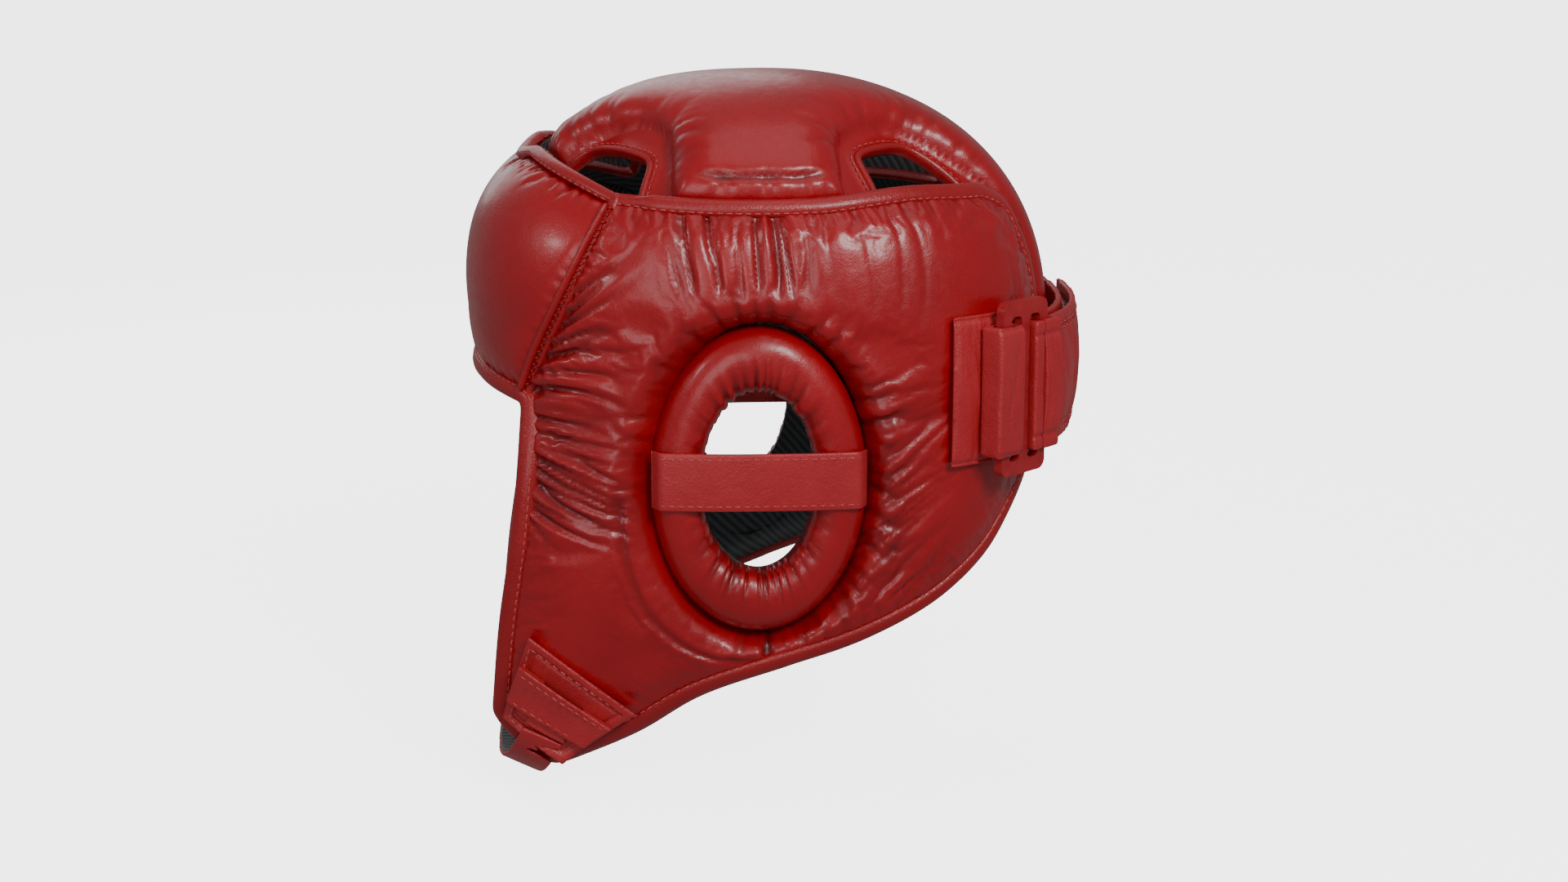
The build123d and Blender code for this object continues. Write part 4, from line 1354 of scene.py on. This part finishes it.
def shrunk(corners, width):
    """A closed outline moved inwards by a width."""
    loop = np.array(corners, float)
    normals = loop_normals(loop)
    result = []
    for i, point in enumerate(loop):
        before, after = loop[i - 1], loop[(i + 1) % len(loop)]
        first, second = point - before, after - point
        first, second = first / np.linalg.norm(first), second / np.linalg.norm(second)
        half = math.sqrt(max(0.05, (1 + first @ second) / 2))
        result.append(point + normals[i] * width / half)
    return result


side_row("chin_corner_stitches", shrunk(PATCH, 2.6), 27.45, closed=True)
side_row("rear_tab_stitches", [(79.0, 8), (79.0, 64)], 26.6)
side_row("chin_keeper_stitches_high", [(-100.6, -83), (-66, -107.6)], 32.0)
side_row("chin_keeper_stitches_low", [(-104.4, -96), (-77, -113.6)], 32.0)


# -------------------------------------------------- floor, light and camera
CAD_LOW = np.array(cad_bounds[0]) / MM
look_at = np.array([0.0, 14.0, -5.0])
azimuth, elevation, distance = math.radians(86.2), math.radians(13.7), 1200.0
back = np.array([math.sin(azimuth) * math.cos(elevation),
                 -math.cos(azimuth) * math.cos(elevation), math.sin(elevation)])


def aim(item, place, target):
    """Puts a lamp or the camera at a place, facing a target, both in millimetres."""
    item.location = [c * MM for c in place]
    facing = Vector([c * MM for c in target]) - item.location
    item.rotation_euler = facing.to_track_quat("-Z", "Y").to_euler()


camera = bpy.data.objects.new("camera", bpy.data.cameras.new("camera"))
bpy.context.scene.collection.objects.link(camera)
camera.data.lens = 63
camera.data.sensor_width = 36
aim(camera, look_at + back * distance, look_at)
bpy.context.scene.camera = camera

FLOOR_GAP = 0.5            # so that the floor doesn't flicker through the lowest edge
FLOOR_SIDES = 72
# the floor's radius and rise: flat, then curving up into the backdrop
FLOOR_PROFILE = [(0, 0), (300, 0), (900, 0), (2500, 0), (6000, 0), (7200, 200), (8200, 900),
                 (8900, 2200), (9200, 5000), (9300, 9000)]
floor_z = CAD_LOW[2] - FLOOR_GAP
studio = Surface("studio_floor", None)
studio.set(Base_Color=(0.9, 0.9, 0.9, 1), Roughness=0.9, Emission_Color=(1, 1, 1, 1), Emission_Strength=3.6)
spot = np.linspace(0, 2 * math.pi, FLOOR_SIDES, endpoint=False)
rows = []
for radius, rise in FLOOR_PROFILE:
    rows += [(radius * math.cos(a), look_at[1] + radius * math.sin(a), floor_z + rise) for a in spot]
faces = grid_faces(len(FLOOR_PROFILE), FLOOR_SIDES, closed_columns=True)
floor = make("studio_floor", rows, faces, studio.material)
floor.visible_diffuse = False     # the pale floor only shows itself
floor.visible_glossy = False
floor.visible_shadow = False


def lamp(name, place, target, size, power):
    """A round soft lamp: its place, target and width in millimetres, its power in watts."""
    data = bpy.data.lights.new(name, "AREA")
    data.shape, data.size, data.energy = "DISK", size * MM, power
    light = bpy.data.objects.new(name, data)
    bpy.context.scene.collection.objects.link(light)
    aim(light, place, target)


lamp("key", (1050, 420, 760), (0, 10, 20), 420, 8.5)
lamp("top", (150, 100, 1300), (0, 0, 20), 900, 1.6)
lamp("front_glint", (420, -1100, 620), (0, -60, 60), 130, 1.3)
lamp("side_fill", (1300, -500, 300), (0, 0, 20), 700, 3.2)
lamp("far_fill", (-900, -300, 500), (0, 0, 0), 900, 2.2)

world = bpy.data.worlds.new("studio")
bpy.context.scene.world = world
world.use_nodes = True
world.node_tree.nodes["Background"].inputs["Color"].default_value = (0.95, 0.955, 0.96, 1)
world.node_tree.nodes["Background"].inputs["Strength"].default_value = 0.24
